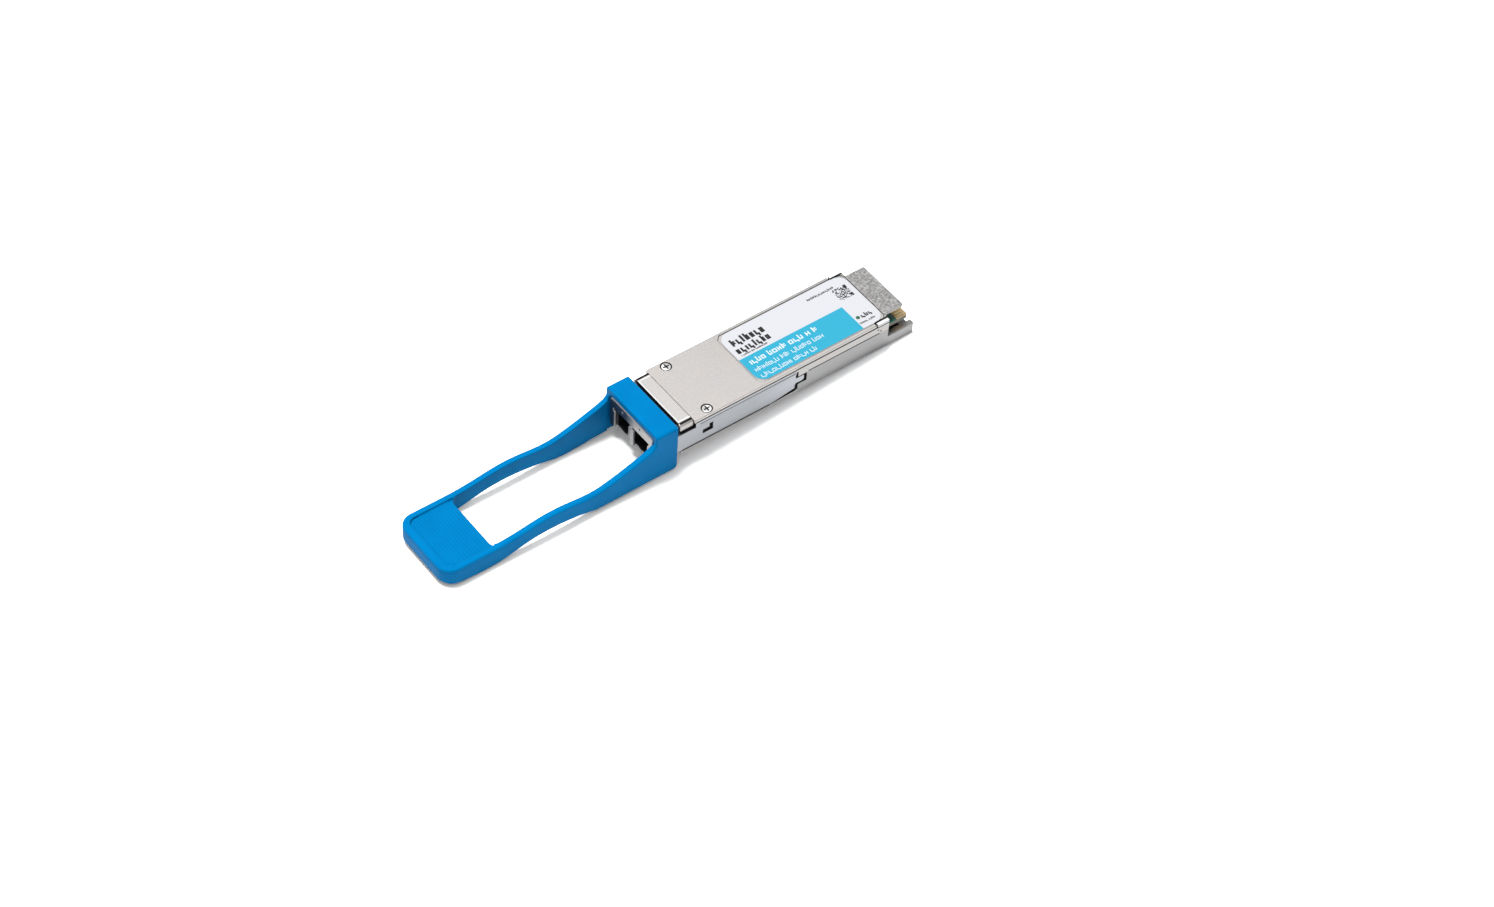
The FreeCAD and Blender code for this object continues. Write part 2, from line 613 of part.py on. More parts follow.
def optical_package(tag, centre, rear):
    """Package with floor and walls, its lid, and the thermal pad beneath it."""
    half = dims.osa_w / 2
    shelf_z = 4.36

    def inset(front_gap, side_gap):
        """Footprint drawn in from the package's outline."""
        return (dims.osa_x0 + front_gap, rear - front_gap,
                centre - half + side_gap, centre + half - side_gap)

    body = node(tag + "_package")
    box(body, *inset(0, 0), dims.osa_z0, dims.osa_z1)
    hollow(body, *inset(0.7, 0.6), dims.osa_z0 + 0.7, dims.osa_z1 + 0.5)
    # feed-through shelf at the rear, with a second one above it on the transmitter
    shelves = [(0.5, shelf_z - 0.5, shelf_z)]
    if tag == "tosa":
        shelves.append((0.7, 4.85, 5.12))
    for gap, z0, z1 in shelves:
        box(body, rear - step, rear + 0.9, centre - half + gap, centre + half - gap, z0, z1)
    right_corner = ends_at(x=dims.osa_x0, y=centre - half)
    left_corner = ends_at(x=dims.osa_x0, y=centre + half)
    dress(body, "Fillet", 0.3, lambda edge: right_corner(edge) or left_corner(edge))
    blocks(tag + "_lid",
           (*inset(0.15, 0.15), dims.osa_z1, dims.osa_z1 + dims.lid_t),
           (*inset(0.75, 0.65), dims.osa_z1 - 0.15, dims.osa_z1 + 0.05))
    blocks(tag + "_thermal_pad", (*inset(0.6, 0.3), dims.floor_z, dims.osa_z0))


def barrel_emi_gasket():
    body = blocks("barrel_emi_gasket", (4.45, 5.15, *across(6.05), 0.92, 6.6))
    cut(body, "YZ", 4.3, 5.3, circles, dims.cradle_r, PORTS)


def osa_clamp():
    """Bracket over both barrels, with a top plate and an upright at each end."""
    x0, x1, half = dims.saddle_x0, dims.saddle_x1, 6.1
    body = blocks(
        "osa_clamp",
        (x0, x1, *across(half), dims.port_axis_z + 0.02, 5.9),
        (x0, x1 + 1.1, *across(half), 5.7, 6.1),
        *[(x0 + 0.1, x1 + 1.1, *flank(side, 4.9, half), 6.0, 7.65) for side in SIDES])
    cut(body, "YZ", x0 - 0.1, x1 + 0.1, circles, dims.cradle_r, PORTS)


def flex_circuit(name, y0, y1, underside):
    """Thin ribbon whose underside follows the (x, z) points."""
    thickness = 0.12
    upper = [(x, z + thickness) for x, z in reversed(underside)]
    pad(node(name), "XZ", y0, y1, polygon, underside + upper)


def flex_circuits():
    rf_z, rf_end, dc_z0, dc_z1 = 4.37, 27.0, 5.13, 5.51
    tosa, rosa = dims.tosa_x1, dims.rosa_x1
    flex_circuit("tosa_rf_flex", 1.2, 5.05, [(tosa + 0.1, rf_z), (rf_end, rf_z)])
    flex_circuit("tosa_dc_flex", 1.4, 4.85, [
        (tosa + 0.1, dc_z0), (tosa + 0.7, dc_z0), (tosa + 1.15, dc_z1), (26.0, dc_z1)])
    flex_circuit("rosa_flex", -5.05, -1.2, [(rosa + 0.1, rf_z), (rf_end, rf_z)])


# ---------------------------------------------------------------- circuit board
def main_pcb():
    body = node("main_pcb")
    front_half, rear_half, clip = dims.pcb_w1 / 2, dims.pcb_w2 / 2, 0.5
    pad(body, "XY", dims.pcb_z0, dims.pcb_z1, polygon, symmetric([
        (dims.pcb_x0, front_half), (dims.pcb_x1, front_half), (dims.pcb_x1, rear_half),
        (dims.pcb_x2 - clip, rear_half), (dims.pcb_x2, rear_half - clip)]))
    cut(body, "XY", dims.pcb_z0 - 0.5, dims.pcb_z1 + 0.5, circles, dims.post_hole_r, POSTS)
    at_rear = ends_at(x=dims.pcb_x2)
    dress(body, "Chamfer", 0.22, lambda edge: at_rear(edge) and edge.BoundBox.YLength > 5)


def contact_row(sk):
    """Nineteen contacts across the card edge, every third one longer at both ends."""
    for i in range(-9, 10):
        y = dims.finger_pitch * i
        x0, x1 = dims.finger_x0, dims.finger_x1
        if i % 3 == 0:
            x0 = x0 - 0.35
        else:
            x1 = x1 - 0.25
        rect(sk, x0, x1, y - dims.finger_w / 2, y + dims.finger_w / 2)


def edge_contacts():
    body = node("edge_contacts")
    pad(body, "XY", dims.pcb_z1, dims.pcb_z1 + dims.finger_t, contact_row)
    pad(body, "XY", dims.pcb_z0 - dims.finger_t, dims.pcb_z0, contact_row)


# low corner (x, y) of each capacitor, on the board's upper and lower faces
CAPACITORS_ABOVE = [
    (28.0, 0.2), (28.0, 1.4), (30.0, 0.2), (30.0, 1.4), (33.0, 1.6), (33.0, 2.8),
    (35.0, 0.0), (35.0, 1.2), (37.8, 0.4), (37.8, -1.0), (39.6, 0.4), (39.6, -1.0),
    (51.4, -4.8), (51.4, -3.4), (51.4, 3.0), (51.4, 4.4), (53.4, -4.8), (53.4, -3.4),
    (53.4, 3.0), (53.4, 4.4), (45.8, 4.2), (45.8, 5.6), (45.8, -4.6), (45.8, -6.0)]
CAPACITORS_BELOW = [
    (35.0, 2.0), (35.0, 3.2), (35.0, -2.4), (35.0, -3.6),
    (47.0, 1.8), (47.0, 3.0), (47.0, -2.2), (47.0, -3.4)]


def capacitor_footprints(sk, corners):
    for x, y in corners:
        rect(sk, x, x + 1.0, y, y + 0.5)


def ceramic_capacitors():
    body = node("ceramic_capacitors")
    tall = 0.5
    above, below = dims.pcb_z1, dims.pcb_z0
    pad(body, "XY", above, above + tall, capacitor_footprints, CAPACITORS_ABOVE)
    pad(body, "XY", below - tall, below, capacitor_footprints, CAPACITORS_BELOW)


def board_parts():
    above, below = dims.pcb_z1, dims.pcb_z0
    for name, side in (("tx_cdr_chip", 1), ("rx_cdr_chip", -1)):
        blocks(name, (dims.cdr_x0, dims.cdr_x1, *flank(side, dims.cdr_y0, dims.cdr_y1),
                      dims.cdr_z, below))
    inset = 0.2
    blocks("cdr_thermal_pads",
           *[(dims.cdr_x0 + inset, dims.cdr_x1 - inset,
              *flank(side, dims.cdr_y0 + inset, dims.cdr_y1 - inset),
              dims.pedestal_z, dims.cdr_z) for side in SIDES])
    controller_top = above + 0.85
    body = blocks("microcontroller", (45.5, 50.5, *across(2.5), above, controller_top))
    dress(body, "Chamfer", 0.12, ends_at(z=controller_top))
    blocks("laser_driver", (28.6, 32.6, 1.2, 5.2, 3.7, below))
    blocks("tec_driver", (28.0, 31.0, -5.6, -2.6, above, above + 0.8))
    blocks("power_regulators",
           *[(37.6, 39.8, *flank(side, 3.6, 5.8), above, above + 0.8) for side in SIDES])
    inductors = [(41.6, 3.6), (41.6, -5.6), (33.4, -5.2)]   # low corner (x, y)
    blocks("power_inductors",
           *[(x, x + 2.5, y, y + 2.0, above, above + 1.2) for x, y in inductors])
    ceramic_capacitors()
    blocks("hold_down_pads",
           (32.4, 35.4, 5.0, 7.0, above, seam_z),
           (36.0, 37.4, -7.6, -5.9, above, seam_z))
    blocks("emi_absorber", (38.5, 55.5, *across(6.4), seam_z - 0.35, seam_z))


# ---------------------------------------------------------------- slider and springs
def slider_frame():
    """Stamped frame: two side arms joined by a bridge over the nose."""
    body = node("slider_frame")
    arm = [(dims.bridge_x0, dims.arm_z0), (dims.arm_ramp_x, dims.arm_z0),
           (dims.arm_end, dims.arm_ramp_z), (dims.arm_end, dims.tip_z0),
           (dims.tip_end, dims.tip_z0), (dims.tip_end, dims.tip_z1),
           (dims.arm_end, dims.tip_z1), (dims.arm_end, dims.arm_z1),
           (dims.bridge_x1, dims.arm_z1), (dims.bridge_x1, bridge_top),
           (dims.bridge_x0, bridge_top)]
    window = [(dims.arm_window_x0, dims.arm_window_z0), (dims.arm_window_x1, dims.arm_window_z0),
              (dims.arm_window_x1, dims.arm_window_z1),
              (dims.arm_window_mid_x, dims.arm_window_z1),
              (dims.arm_window_mid_x, dims.arm_window_mid_z),
              (dims.arm_window_x0, dims.arm_window_mid_z)]
    pad(body, "XZ", dims.arm_y0, arm_outer, polygon, arm)
    pad(body, "XZ", *across(arm_outer), rect,
        dims.bridge_x0, dims.bridge_x1, dims.bridge_z0, bridge_top)
    pad(body, "XZ", -arm_outer, -dims.arm_y0, polygon, arm)
    # stepped window in each arm, and the lance that reaches inwards beside it
    for side in SIDES:
        cut(body, "XZ", *flank(side, dims.arm_y0 - 0.2, arm_outer + 0.2), polygon, window)
        box(body, dims.lance_x0, dims.arm_window_mid_x,
            *flank(side, dims.lance_y, dims.arm_y0 + 0.1), 3.75, 5.0)
    at_tip = ends_at(x=dims.tip_end)
    dress(body, "Fillet", 0.5, lambda edge: at_tip(edge) and edge.BoundBox.YLength > 0.3)


def return_spring(name, centre):
    """Helical spring along X."""
    wire = dims.spring_wire.value
    mean_r = (dims.spring_dia.value - wire) / 2
    length = dims.spring_x1.value - dims.spring_x0.value - wire
    helix = Part.makeHelix(length / dims.spring_coils.value, length, mean_r)
    section = Part.Wire([Part.makeCircle(wire / 2, Vector(mean_r, 0, 0), Vector(0, 1, 0))])
    spring = doc.addObject("Part::Feature", name)
    spring.Shape = Part.Wire(helix.Edges).makePipeShell([section], True, True)
    start = Vector(dims.spring_x0.value + wire / 2, centre.value, dims.spring_z.value)
    spring.Placement = Placement(start, Rotation(Vector(0, 1, 0), 90))
    pieces.append(spring)


# ---------------------------------------------------------------- pull tab
# side view of the tab, (x, z) from the grip to the collar
TAB_TOP = [
    (-59.7, 1.12), (-55.0, 1.1), (-51.0, 1.08), (-47.6, 1.1), (-44.9, 1.25), (-42.5, 1.5),
    (-40.0, 1.86), (-37.4, 2.2), (-34.8, 2.42), (-32.0, 2.4), (-29.5, 2.2), (-27.0, 1.9),
    (-24.3, 1.7), (-21.6, 1.8), (-19.0, 2.35), (-16.4, 3.05), (-13.7, 3.9), (-11.0, 4.8),
    (-8.8, 5.65), (-7.6, 6.3), (-6.95, 7.1), (-6.7, 8.2)]
TAB_UNDERSIDE = [
    (-59.7, -3.2), (-56.4, -3.62), (-53.6, -3.82), (-50.8, -3.88), (-48.0, -3.75),
    (-45.1, -3.28), (-42.5, -2.7), (-39.9, -2.2), (-37.4, -1.9), (-34.8, -1.8), (-32.2, -1.88),
    (-29.5, -2.15), (-26.9, -2.5), (-24.3, -3.05), (-21.6, -3.65), (-19.0, -3.95),
    (-16.3, -3.8), (-13.6, -3.6), (-11.0, -3.45), (-8.3, -3.35), (-5.6, -3.4)]
GRIP_TOP_Z = TAB_TOP[0][1]
GRIP_LOW_Z = -2.9


def smooth(points):
    curve = Part.BSplineCurve()
    curve.interpolate([Vector(x, z, 0) for x, z in points])
    return curve


def tab_profile(sk):
    """Side view: two smooth curves closed by straight lines, all fixed in place."""
    end_x = dims.grip_end.value
    top_x, top_z = TAB_TOP[-1]
    low_x, low_z = TAB_UNDERSIDE[-1]
    outline = [
        smooth(TAB_TOP),
        line(top_x, top_z, low_x, top_z),
        line(low_x, top_z, low_x, low_z),
        smooth(TAB_UNDERSIDE),
        line(*TAB_UNDERSIDE[0], end_x, GRIP_LOW_Z),
        line(end_x, GRIP_LOW_Z, end_x, GRIP_TOP_Z),
        line(end_x, GRIP_TOP_Z, *TAB_TOP[0])]
    for geo in [sk.addGeometry(part, False) for part in outline]:
        sk.addConstraint(Sketcher.Constraint("Block", geo))


def thumb_ribs(sk):
    """Cross ribs; the first three are shorter, to clear the pad's round corners."""
    pitch = (dims.tab_window_x0 - dims.thumb_x0 - 1.4) / dims.rib_count
    for i in range(DIMENSIONS["rib_count"]):
        x = dims.thumb_x0 + 0.75 + pitch * i
        inset = 1.5 if i == 0 else (0.35 if i < 3 else 0.0)
        rect(sk, x, x + dims.rib_len, *across(dims.thumb_w / 2 - inset))


def pull_tab():
    body = node("pull_tab")
    profile = pad(body, "XZ", *across(tab_half), tab_profile)
    profile.Label = "pull_tab_side_profile"
    # collar that wraps the nose on three sides
    pad(body, "YZ", dims.collar_x0, dims.collar_x1, arch,
        tab_half, dims.collar_z0, dims.collar_z1, 0.65)
    # long window between the arms, running up to the collar, and the collar's opening
    window_half = tab_half - dims.tab_arm_t
    below = -6
    hollow(body, dims.tab_window_x0, dims.collar_x0, *across(window_half), below, 12)
    cut(body, "YZ", dims.collar_x0 - 0.5, dims.collar_x1 + 0.5, arch,
        dims.collar_in_w / 2, below, dims.collar_in_z, 1.3)

    def collar_rim(edge):
        bounds = edge.BoundBox
        return (near(bounds.XMin, dims.collar_x1) and near(bounds.XMax, dims.collar_x1)
                and (near(bounds.ZMax, dims.collar_z1) or near(abs(bounds.YMin), tab_half))
                and edge.Length > 1.0)

    def grip_rim(edge):
        bounds = edge.BoundBox
        return (bounds.XMax < dims.grip_end.value + 4.5 and bounds.YLength > 10
                and (near(bounds.ZMin, GRIP_TOP_Z, 0.02) or near(bounds.ZMax, GRIP_LOW_Z, 0.02)))

    # grip corners, window corners, collar feet, collar rim, grip rim
    dress(body, "Fillet", dims.grip_r, ends_at(x=dims.grip_end, abs_y=tab_half), True)
    dress(body, "Fillet", 1.3, ends_at(x=dims.tab_window_x0, abs_y=window_half), True)
    dress(body, "Fillet", 1.0, ends_at(x=dims.collar_x1, z=dims.collar_z0))
    dress(body, "Chamfer", 0.2, collar_rim)
    dress(body, "Fillet", 0.4, grip_rim)
    # recessed thumb pad, open towards the window, with fine cross ribs
    thumb_half = dims.thumb_w / 2
    hollow(body, dims.thumb_x0, dims.tab_window_x0 + 0.5, *across(thumb_half), dims.thumb_z, 3)
    dress(body, "Fillet", 1.8, ends_at(x=dims.thumb_x0, abs_y=thumb_half))
    pad(body, "XY", dims.thumb_z - step, dims.thumb_z + dims.rib_tall, thumb_ribs)
    # the slot that the slider's bridge and arms fill
    cut(body, "YZ", dims.bridge_x0, dims.collar_x1 + 1.0, polygon, [
        (-arm_outer, dims.arm_z0), (-dims.arm_y0, dims.arm_z0), (-dims.arm_y0, dims.bridge_z0),
        (dims.arm_y0, dims.bridge_z0), (dims.arm_y0, dims.arm_z0), (arm_outer, dims.arm_z0),
        (arm_outer, bridge_top), (-arm_outer, bridge_top)])


# ---------------------------------------------------------------- build, check and export
base_housing()
top_cover()
cover_screws()
product_label()
cover_emi_gasket()
lc_receptacle()
for tag, centre, rear in (("tosa", port_y, dims.tosa_x1), ("rosa", -port_y, dims.rosa_x1)):
    optical_barrel(tag, centre)
    optical_package(tag, centre, rear)
barrel_emi_gasket()
osa_clamp()
flex_circuits()
main_pcb()
edge_contacts()
board_parts()
slider_frame()
return_spring("return_spring_left", dims.spring_y)
return_spring("return_spring_right", -dims.spring_y)
pull_tab()

doc.recompute()
for item in doc.Objects:
    if "Invalid" in item.State or "Error" in item.State:
        raise RuntimeError("%s is %s" % (item.Name, item.State))
for piece in pieces:
    if piece.Shape.isNull() or not piece.Shape.isValid() or piece.Shape.Volume <= 0:
        raise RuntimeError("bad shape: " + piece.Label)
for piece in pieces:
    piece.Shape.exportStep("parts/%s.step" % piece.Label)
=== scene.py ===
"""Looks and stage for a pluggable optical module with a moulded pull tab.

x runs along the module from the pull tab (-x) to the host end with its card edge (+x),
y runs across it and z is up. Lengths are millimetres unless a line says metres.
"""
import bpy, bmesh, json, math
import numpy as np
from mathutils import Vector, Matrix


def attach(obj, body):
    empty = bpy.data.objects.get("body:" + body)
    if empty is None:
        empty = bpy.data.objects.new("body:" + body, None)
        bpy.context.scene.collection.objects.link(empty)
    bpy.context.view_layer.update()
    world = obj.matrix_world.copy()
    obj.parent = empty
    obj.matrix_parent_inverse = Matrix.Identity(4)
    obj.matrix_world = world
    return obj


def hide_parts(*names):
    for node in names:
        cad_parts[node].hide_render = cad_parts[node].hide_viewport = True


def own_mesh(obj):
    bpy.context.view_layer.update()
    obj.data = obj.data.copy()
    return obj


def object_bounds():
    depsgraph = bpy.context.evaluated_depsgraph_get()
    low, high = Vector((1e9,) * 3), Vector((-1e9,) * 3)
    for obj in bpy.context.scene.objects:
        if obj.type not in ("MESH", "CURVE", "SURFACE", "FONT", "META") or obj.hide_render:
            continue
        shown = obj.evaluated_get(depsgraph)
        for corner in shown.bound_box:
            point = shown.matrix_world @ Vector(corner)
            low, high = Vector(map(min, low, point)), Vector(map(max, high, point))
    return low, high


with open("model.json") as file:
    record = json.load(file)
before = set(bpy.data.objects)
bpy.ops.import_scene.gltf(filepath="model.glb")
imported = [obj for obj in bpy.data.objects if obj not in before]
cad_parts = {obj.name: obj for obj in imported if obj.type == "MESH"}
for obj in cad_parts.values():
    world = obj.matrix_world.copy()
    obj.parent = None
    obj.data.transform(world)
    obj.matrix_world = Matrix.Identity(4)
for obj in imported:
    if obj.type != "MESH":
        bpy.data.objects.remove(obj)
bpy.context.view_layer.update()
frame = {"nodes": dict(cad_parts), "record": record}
MM = 0.001
scene = bpy.context.scene
nodes = frame["nodes"]


# ------------------------------------------------------------------ node builders
class Nodes:
    """Builds the node tree of a material or a world. Values may be numbers, colours or sockets."""
    def __init__(self, owner):
        owner.use_nodes = True
        self.tree = owner.node_tree
        self.tree.nodes.clear()

    def feed(self, socket, value):
        if isinstance(value, bpy.types.NodeSocket):
            self.tree.links.new(value, socket)
        elif socket.type == "RGBA":
            socket.default_value = (*value, 1.0)
        else:
            socket.default_value = value

    def node(self, kind, inputs={}, **props):
        made = self.tree.nodes.new("ShaderNode" + kind)
        for key, value in props.items():
            setattr(made, key, value)
        for key, value in inputs.items():
            self.feed(made.inputs[key], value)
        return made

    def ramp(self, factor, stops):
        """stops: (position, colour or grey level)."""
        made = self.node("ValToRGB", {0: factor})
        elements = made.color_ramp.elements
        while len(elements) < len(stops):
            elements.new(0.5)
        for element, (position, tone) in zip(elements, stops):
            element.position = position
            element.color = (*tone, 1.0) if isinstance(tone, tuple) else (tone, tone, tone, 1.0)
        return made.outputs[0]

    def mix(self, factor, a, b, blend="MIX"):
        return self.node("Mix", {0: factor, 6: a, 7: b}, data_type="RGBA",
                         blend_type=blend).outputs[2]

    def math(self, operation, a, b=0.0, clamp=False):
        return self.node("Math", {0: a, 1: b}, operation=operation, use_clamp=clamp).outputs[0]

    def plus(self, a, b):
        return self.math("ADD", a, b)

    def minus(self, a, b):
        return self.math("SUBTRACT", a, b)

    def times(self, a, b, clamp=False):
        return self.math("MULTIPLY", a, b, clamp)

    def either(self, a, b):
        return self.math("MAXIMUM", a, b)

    def rise(self, value, start, rate):
        """0 below start, then climbing at this rate up to 1."""
        return self.times(self.minus(value, start), rate, clamp=True)


class Surface(Nodes):
    """A principled material. Texture coordinates are object space, in millimetres."""
    def __init__(self, name):
        self.material = bpy.data.materials.new(name)
        super().__init__(self.material)
        self.principled = self.node("BsdfPrincipled")
        self.node("OutputMaterial", {0: self.principled.outputs[0]})
        place = self.node("TexCoord").outputs["Object"]
        self.place = self.node("VectorMath", {0: place, 3: 1 / MM}, operation="SCALE").outputs[0]

    def set(self, **inputs):
        """Feeds inputs of the principled shader; underscores stand for spaces."""
        for key, value in inputs.items():
            self.feed(self.principled.inputs[key.replace("_", " ")], value)

    def stretch(self, factors):
        return self.node("VectorMath", {0: self.place, 1: factors}, operation="MULTIPLY").outputs[0]

    def noise(self, scale, detail=4.0, rough=0.55, place=None, distortion=0.0):
        return self.node("TexNoise", {"Scale": scale, "Detail": detail, "Roughness": rough,
                                      "Distortion": distortion,
                                      "Vector": place or self.place}).outputs[0]

    def xyz(self):
        return self.node("SeparateXYZ", {0: self.place}).outputs

    def inside(self, x=(None, None), y=(None, None), z=(None, None), soft=0.03, mirrored=True):
        """1 inside a box with a soft border; mirrored takes y on both sides of the middle."""
        across, sideways, up = self.xyz()
        if mirrored:
            sideways = self.math("ABSOLUTE", sideways)
        zone = 1.0
        for value, (low, high) in ((across, x), (sideways, y), (up, z)):
            if low is not None:
                zone = self.times(zone, self.rise(value, low, 1.0 / soft))
            if high is not None:
                zone = self.times(zone, self.rise(high, value, 1.0 / soft))
        return zone

    def tint(self, base, zone, strength, tone):
        return self.mix(self.times(zone, strength), base, tone)

    def soft_normal(self, radius):
        return self.node("Bevel", {"Radius": radius * MM}, samples=6).outputs[0]

    def edges(self, soft_normal):
        """0 on flats, towards 1 where the softened normal leaves the true one."""
        true_normal = self.node("NewGeometry").outputs["Normal"]
        dot = self.node("VectorMath", {0: soft_normal, 1: true_normal}, operation="DOT_PRODUCT")
        return self.times(self.minus(1.0, dot.outputs["Value"]), 3.0, clamp=True)

    def crease_shade(self, base, reach):
        """Painted shade: darkens hollows and narrow gaps by how little open sky they see."""
        open_sky = self.node("AmbientOcclusion", {"Distance": reach * MM}, samples=6).outputs["AO"]
        return self.mix(0.8, base, self.ramp(open_sky, [(0.25, 0.18), (0.85, 1.0)]), "MULTIPLY")

    def bump(self, height, strength, depth, normal=None):
        inputs = {"Strength": strength, "Distance": depth * MM, "Height": height}
        if normal is not None:
            inputs["Normal"] = normal
        return self.node("Bump", inputs).outputs[0]


def blend(a, b, share):
    return tuple((1 - share) * u + share * v for u, v in zip(a, b))


def shade(tone, factor):
    return tuple(min(1, v * factor) for v in tone)


# ------------------------------------------------------------------ materials
def cover_tones(m, base):
    """Darker towards the back and towards +y, and darker and grainy at the host end."""
    x, y, _ = m.xyz()
    host_end = m.rise(x, start=56.6, rate=0.8)
    back_and_far_darkening = m.times(m.rise(x, start=12.0, rate=0.022), m.times(m.plus(y, 4.0), 0.08, clamp=True))
    grain = m.noise(scale=1.7, detail=5, rough=0.8)
    grainy = m.ramp(grain, [(0.38, (0.27, 0.265, 0.26)), (0.5, (0.47, 0.46, 0.45)),
                            (0.60, (0.72, 0.71, 0.70))])
    base = m.mix(back_and_far_darkening, base, (0.55, 0.545, 0.535))
    return m.mix(host_end, base, grainy), None, None


def body_tones(m, base):
    """Local tones of the housing, much of it painted highlight and painted shade; returns the colour
    and its painted highlight and painted shade zones.
    """
    _, y, z = m.xyz()
    # flank ahead of the latch pocket and the tongue, darkened, and painted shade of the board over
    # the well between the tongue's rails
    flank = m.inside(x=(3.9, 31.5), y=(9.0, None), z=(1.6, 7.5), soft=0.1)
    base = m.tint(base, flank, 0.8, (0.50, 0.53, 0.565))
    tongue = m.inside(x=(57.5, None), y=(None, 9.1), z=(None, 3.2), soft=0.1)
    base = m.tint(base, tongue, 0.85, (0.31, 0.304, 0.298))
    well = m.inside(x=(57.4, None), y=(None, 7.75), z=(None, 2.6), soft=0.1)
    base = m.tint(base, well, 0.85, (0.10, 0.09, 0.085))
    # painted shade and painted blue reflection on the port face, deepening towards +y
    port_face_shade = m.times(m.inside(x=(None, -6.84), soft=0.02),
                        m.times(m.plus(y, 1.2), 0.30, clamp=True))
    base = m.tint(base, port_face_shade, 0.85, (0.035, 0.065, 0.11))
    collar_top = m.inside(x=(-0.1, 3.6), z=(8.2, None), soft=0.05)
    base = m.tint(base, collar_top, 0.75, (0.80, 0.765, 0.74))
    # painted reflection of the floor's shadow: the flank behind the latch pocket and the foot of
    # both flanks, darker towards the bottom
    rear = m.inside(x=(31.9, None), y=(9.0, None), z=(None, 5.5), soft=0.08)
    base = m.tint(base, rear, 0.75, (0.43, 0.435, 0.44))
    foot = m.times(m.inside(x=(0.0, None), y=(8.7, None), soft=0.1),
                   m.minus(1.0, m.times(z, 0.55, clamp=True)))
    base = m.tint(base, foot, 0.45, (0.30, 0.30, 0.30))
    # small marks on the port face: painted shade in the -y one, a painted highlight on the +y one
    dark_mark = m.inside(x=(-6.89, -6.7), y=(-3.7, -2.5), z=(6.3, 7.2), soft=0.02, mirrored=False)
    base = m.mix(dark_mark, base, (0.20, 0.20, 0.20))
    mark = m.inside(x=(None, -6.7), y=(2.5, 3.7), z=(6.3, 7.2), soft=0.02, mirrored=False)
    mark = m.times(mark, m.inside(x=(-6.89, None), soft=0.02))

    # painted highlights, made bright white and not metallic: the wall ends, the port lips, the
    # strip's front edge, the top edge of the flanks, the strip's shoulder and the +y mark
    ends = m.inside(x=(54.3, None), y=(8.30, None), z=(7.72, None))
    lips = m.inside(x=(-6.895, -6.55), y=(0.0, 6.6), z=(-0.6, 5.2), soft=0.02)
    strip = m.inside(x=(0.2, 0.52), y=(None, 7.5), z=(7.9, None), soft=0.04)
    bevel = m.inside(x=(3.9, 54.0), y=(8.95, None), z=(7.72, None))
    shoulder = m.inside(x=(-0.1, 3.6), y=(7.05, 7.42), z=(8.3, None), soft=0.05)
    painted_highlight = m.either(m.either(ends, m.either(lips, mark)),
                        m.either(m.either(strip, bevel), m.times(shoulder, 0.8)))
    # painted shade, made near black: a dark reflection along the strip's shoulder and the shadow
    # line at the foot of the strip's side
    painted_shade = m.either(m.inside(x=(0.3, 3.6), y=(7.6, 8.24), z=(7.8, None), soft=0.04),
                      m.inside(x=(-0.1, 3.6), y=(8.4, 8.75), z=(6.45, 6.90), soft=0.05))
    return base, painted_highlight, painted_shade


def casting(name, light, dark, local_tones):
    """Satin nickel on a cast surface: speckle, slow tone shifts, worn bright edges."""
    m = Surface(name)
    slow = m.noise(scale=0.16, detail=3, rough=0.6)
    fine = m.noise(scale=2.0, detail=5, rough=0.75)
    speck = m.noise(scale=5.0, detail=3, rough=0.6)
    cells = m.node("TexVoronoi", {"Scale": 4.5, "Vector": m.place}).outputs["Distance"]
    middle = blend(dark, light, 0.5)
    base = m.ramp(m.plus(m.times(fine, 0.5), m.times(speck, 0.5)),
                  [(0.36, blend(middle, dark, 0.35)), (0.5, middle),
                   (0.64, blend(middle, light, 0.5))])
    cool_to_warm = m.ramp(slow, [(0.35, (0.95, 0.965, 1.0)), (0.65, (1.0, 0.98, 0.96))])
    base = m.mix(0.7, base, cool_to_warm, "MULTIPLY")
    base, painted_highlight, painted_shade = local_tones(m, base)
    soft = m.soft_normal(radius=0.12)
    edges = m.edges(soft)
    base = m.tint(base, edges, 0.35, (0.92, 0.91, 0.90))
    metallic = 1.0
    if painted_highlight is not None:
        # painted highlights turn bright white and not metallic; painted shade turns near black
        base = m.mix(painted_highlight, base, (0.93, 0.93, 0.93))
        base = m.mix(painted_shade, base, (0.02, 0.02, 0.02))
        metallic = m.minus(1.0, painted_highlight)
    roughness = m.minus(m.plus(m.times(fine, 0.22), 0.29), m.times(edges, 0.10))
    grain = m.plus(m.times(fine, 0.6), m.times(cells, 0.4))
    waves = m.bump(m.noise(scale=1.1, detail=3), strength=0.12, depth=0.06, normal=soft)
    # painted shade darkens the hollows of the base colour
    m.set(Base_Color=m.crease_shade(base, reach=0.5), Metallic=metallic, Roughness=roughness,
          Normal=m.bump(grain, strength=0.30, depth=0.05, normal=waves))
    return m.material


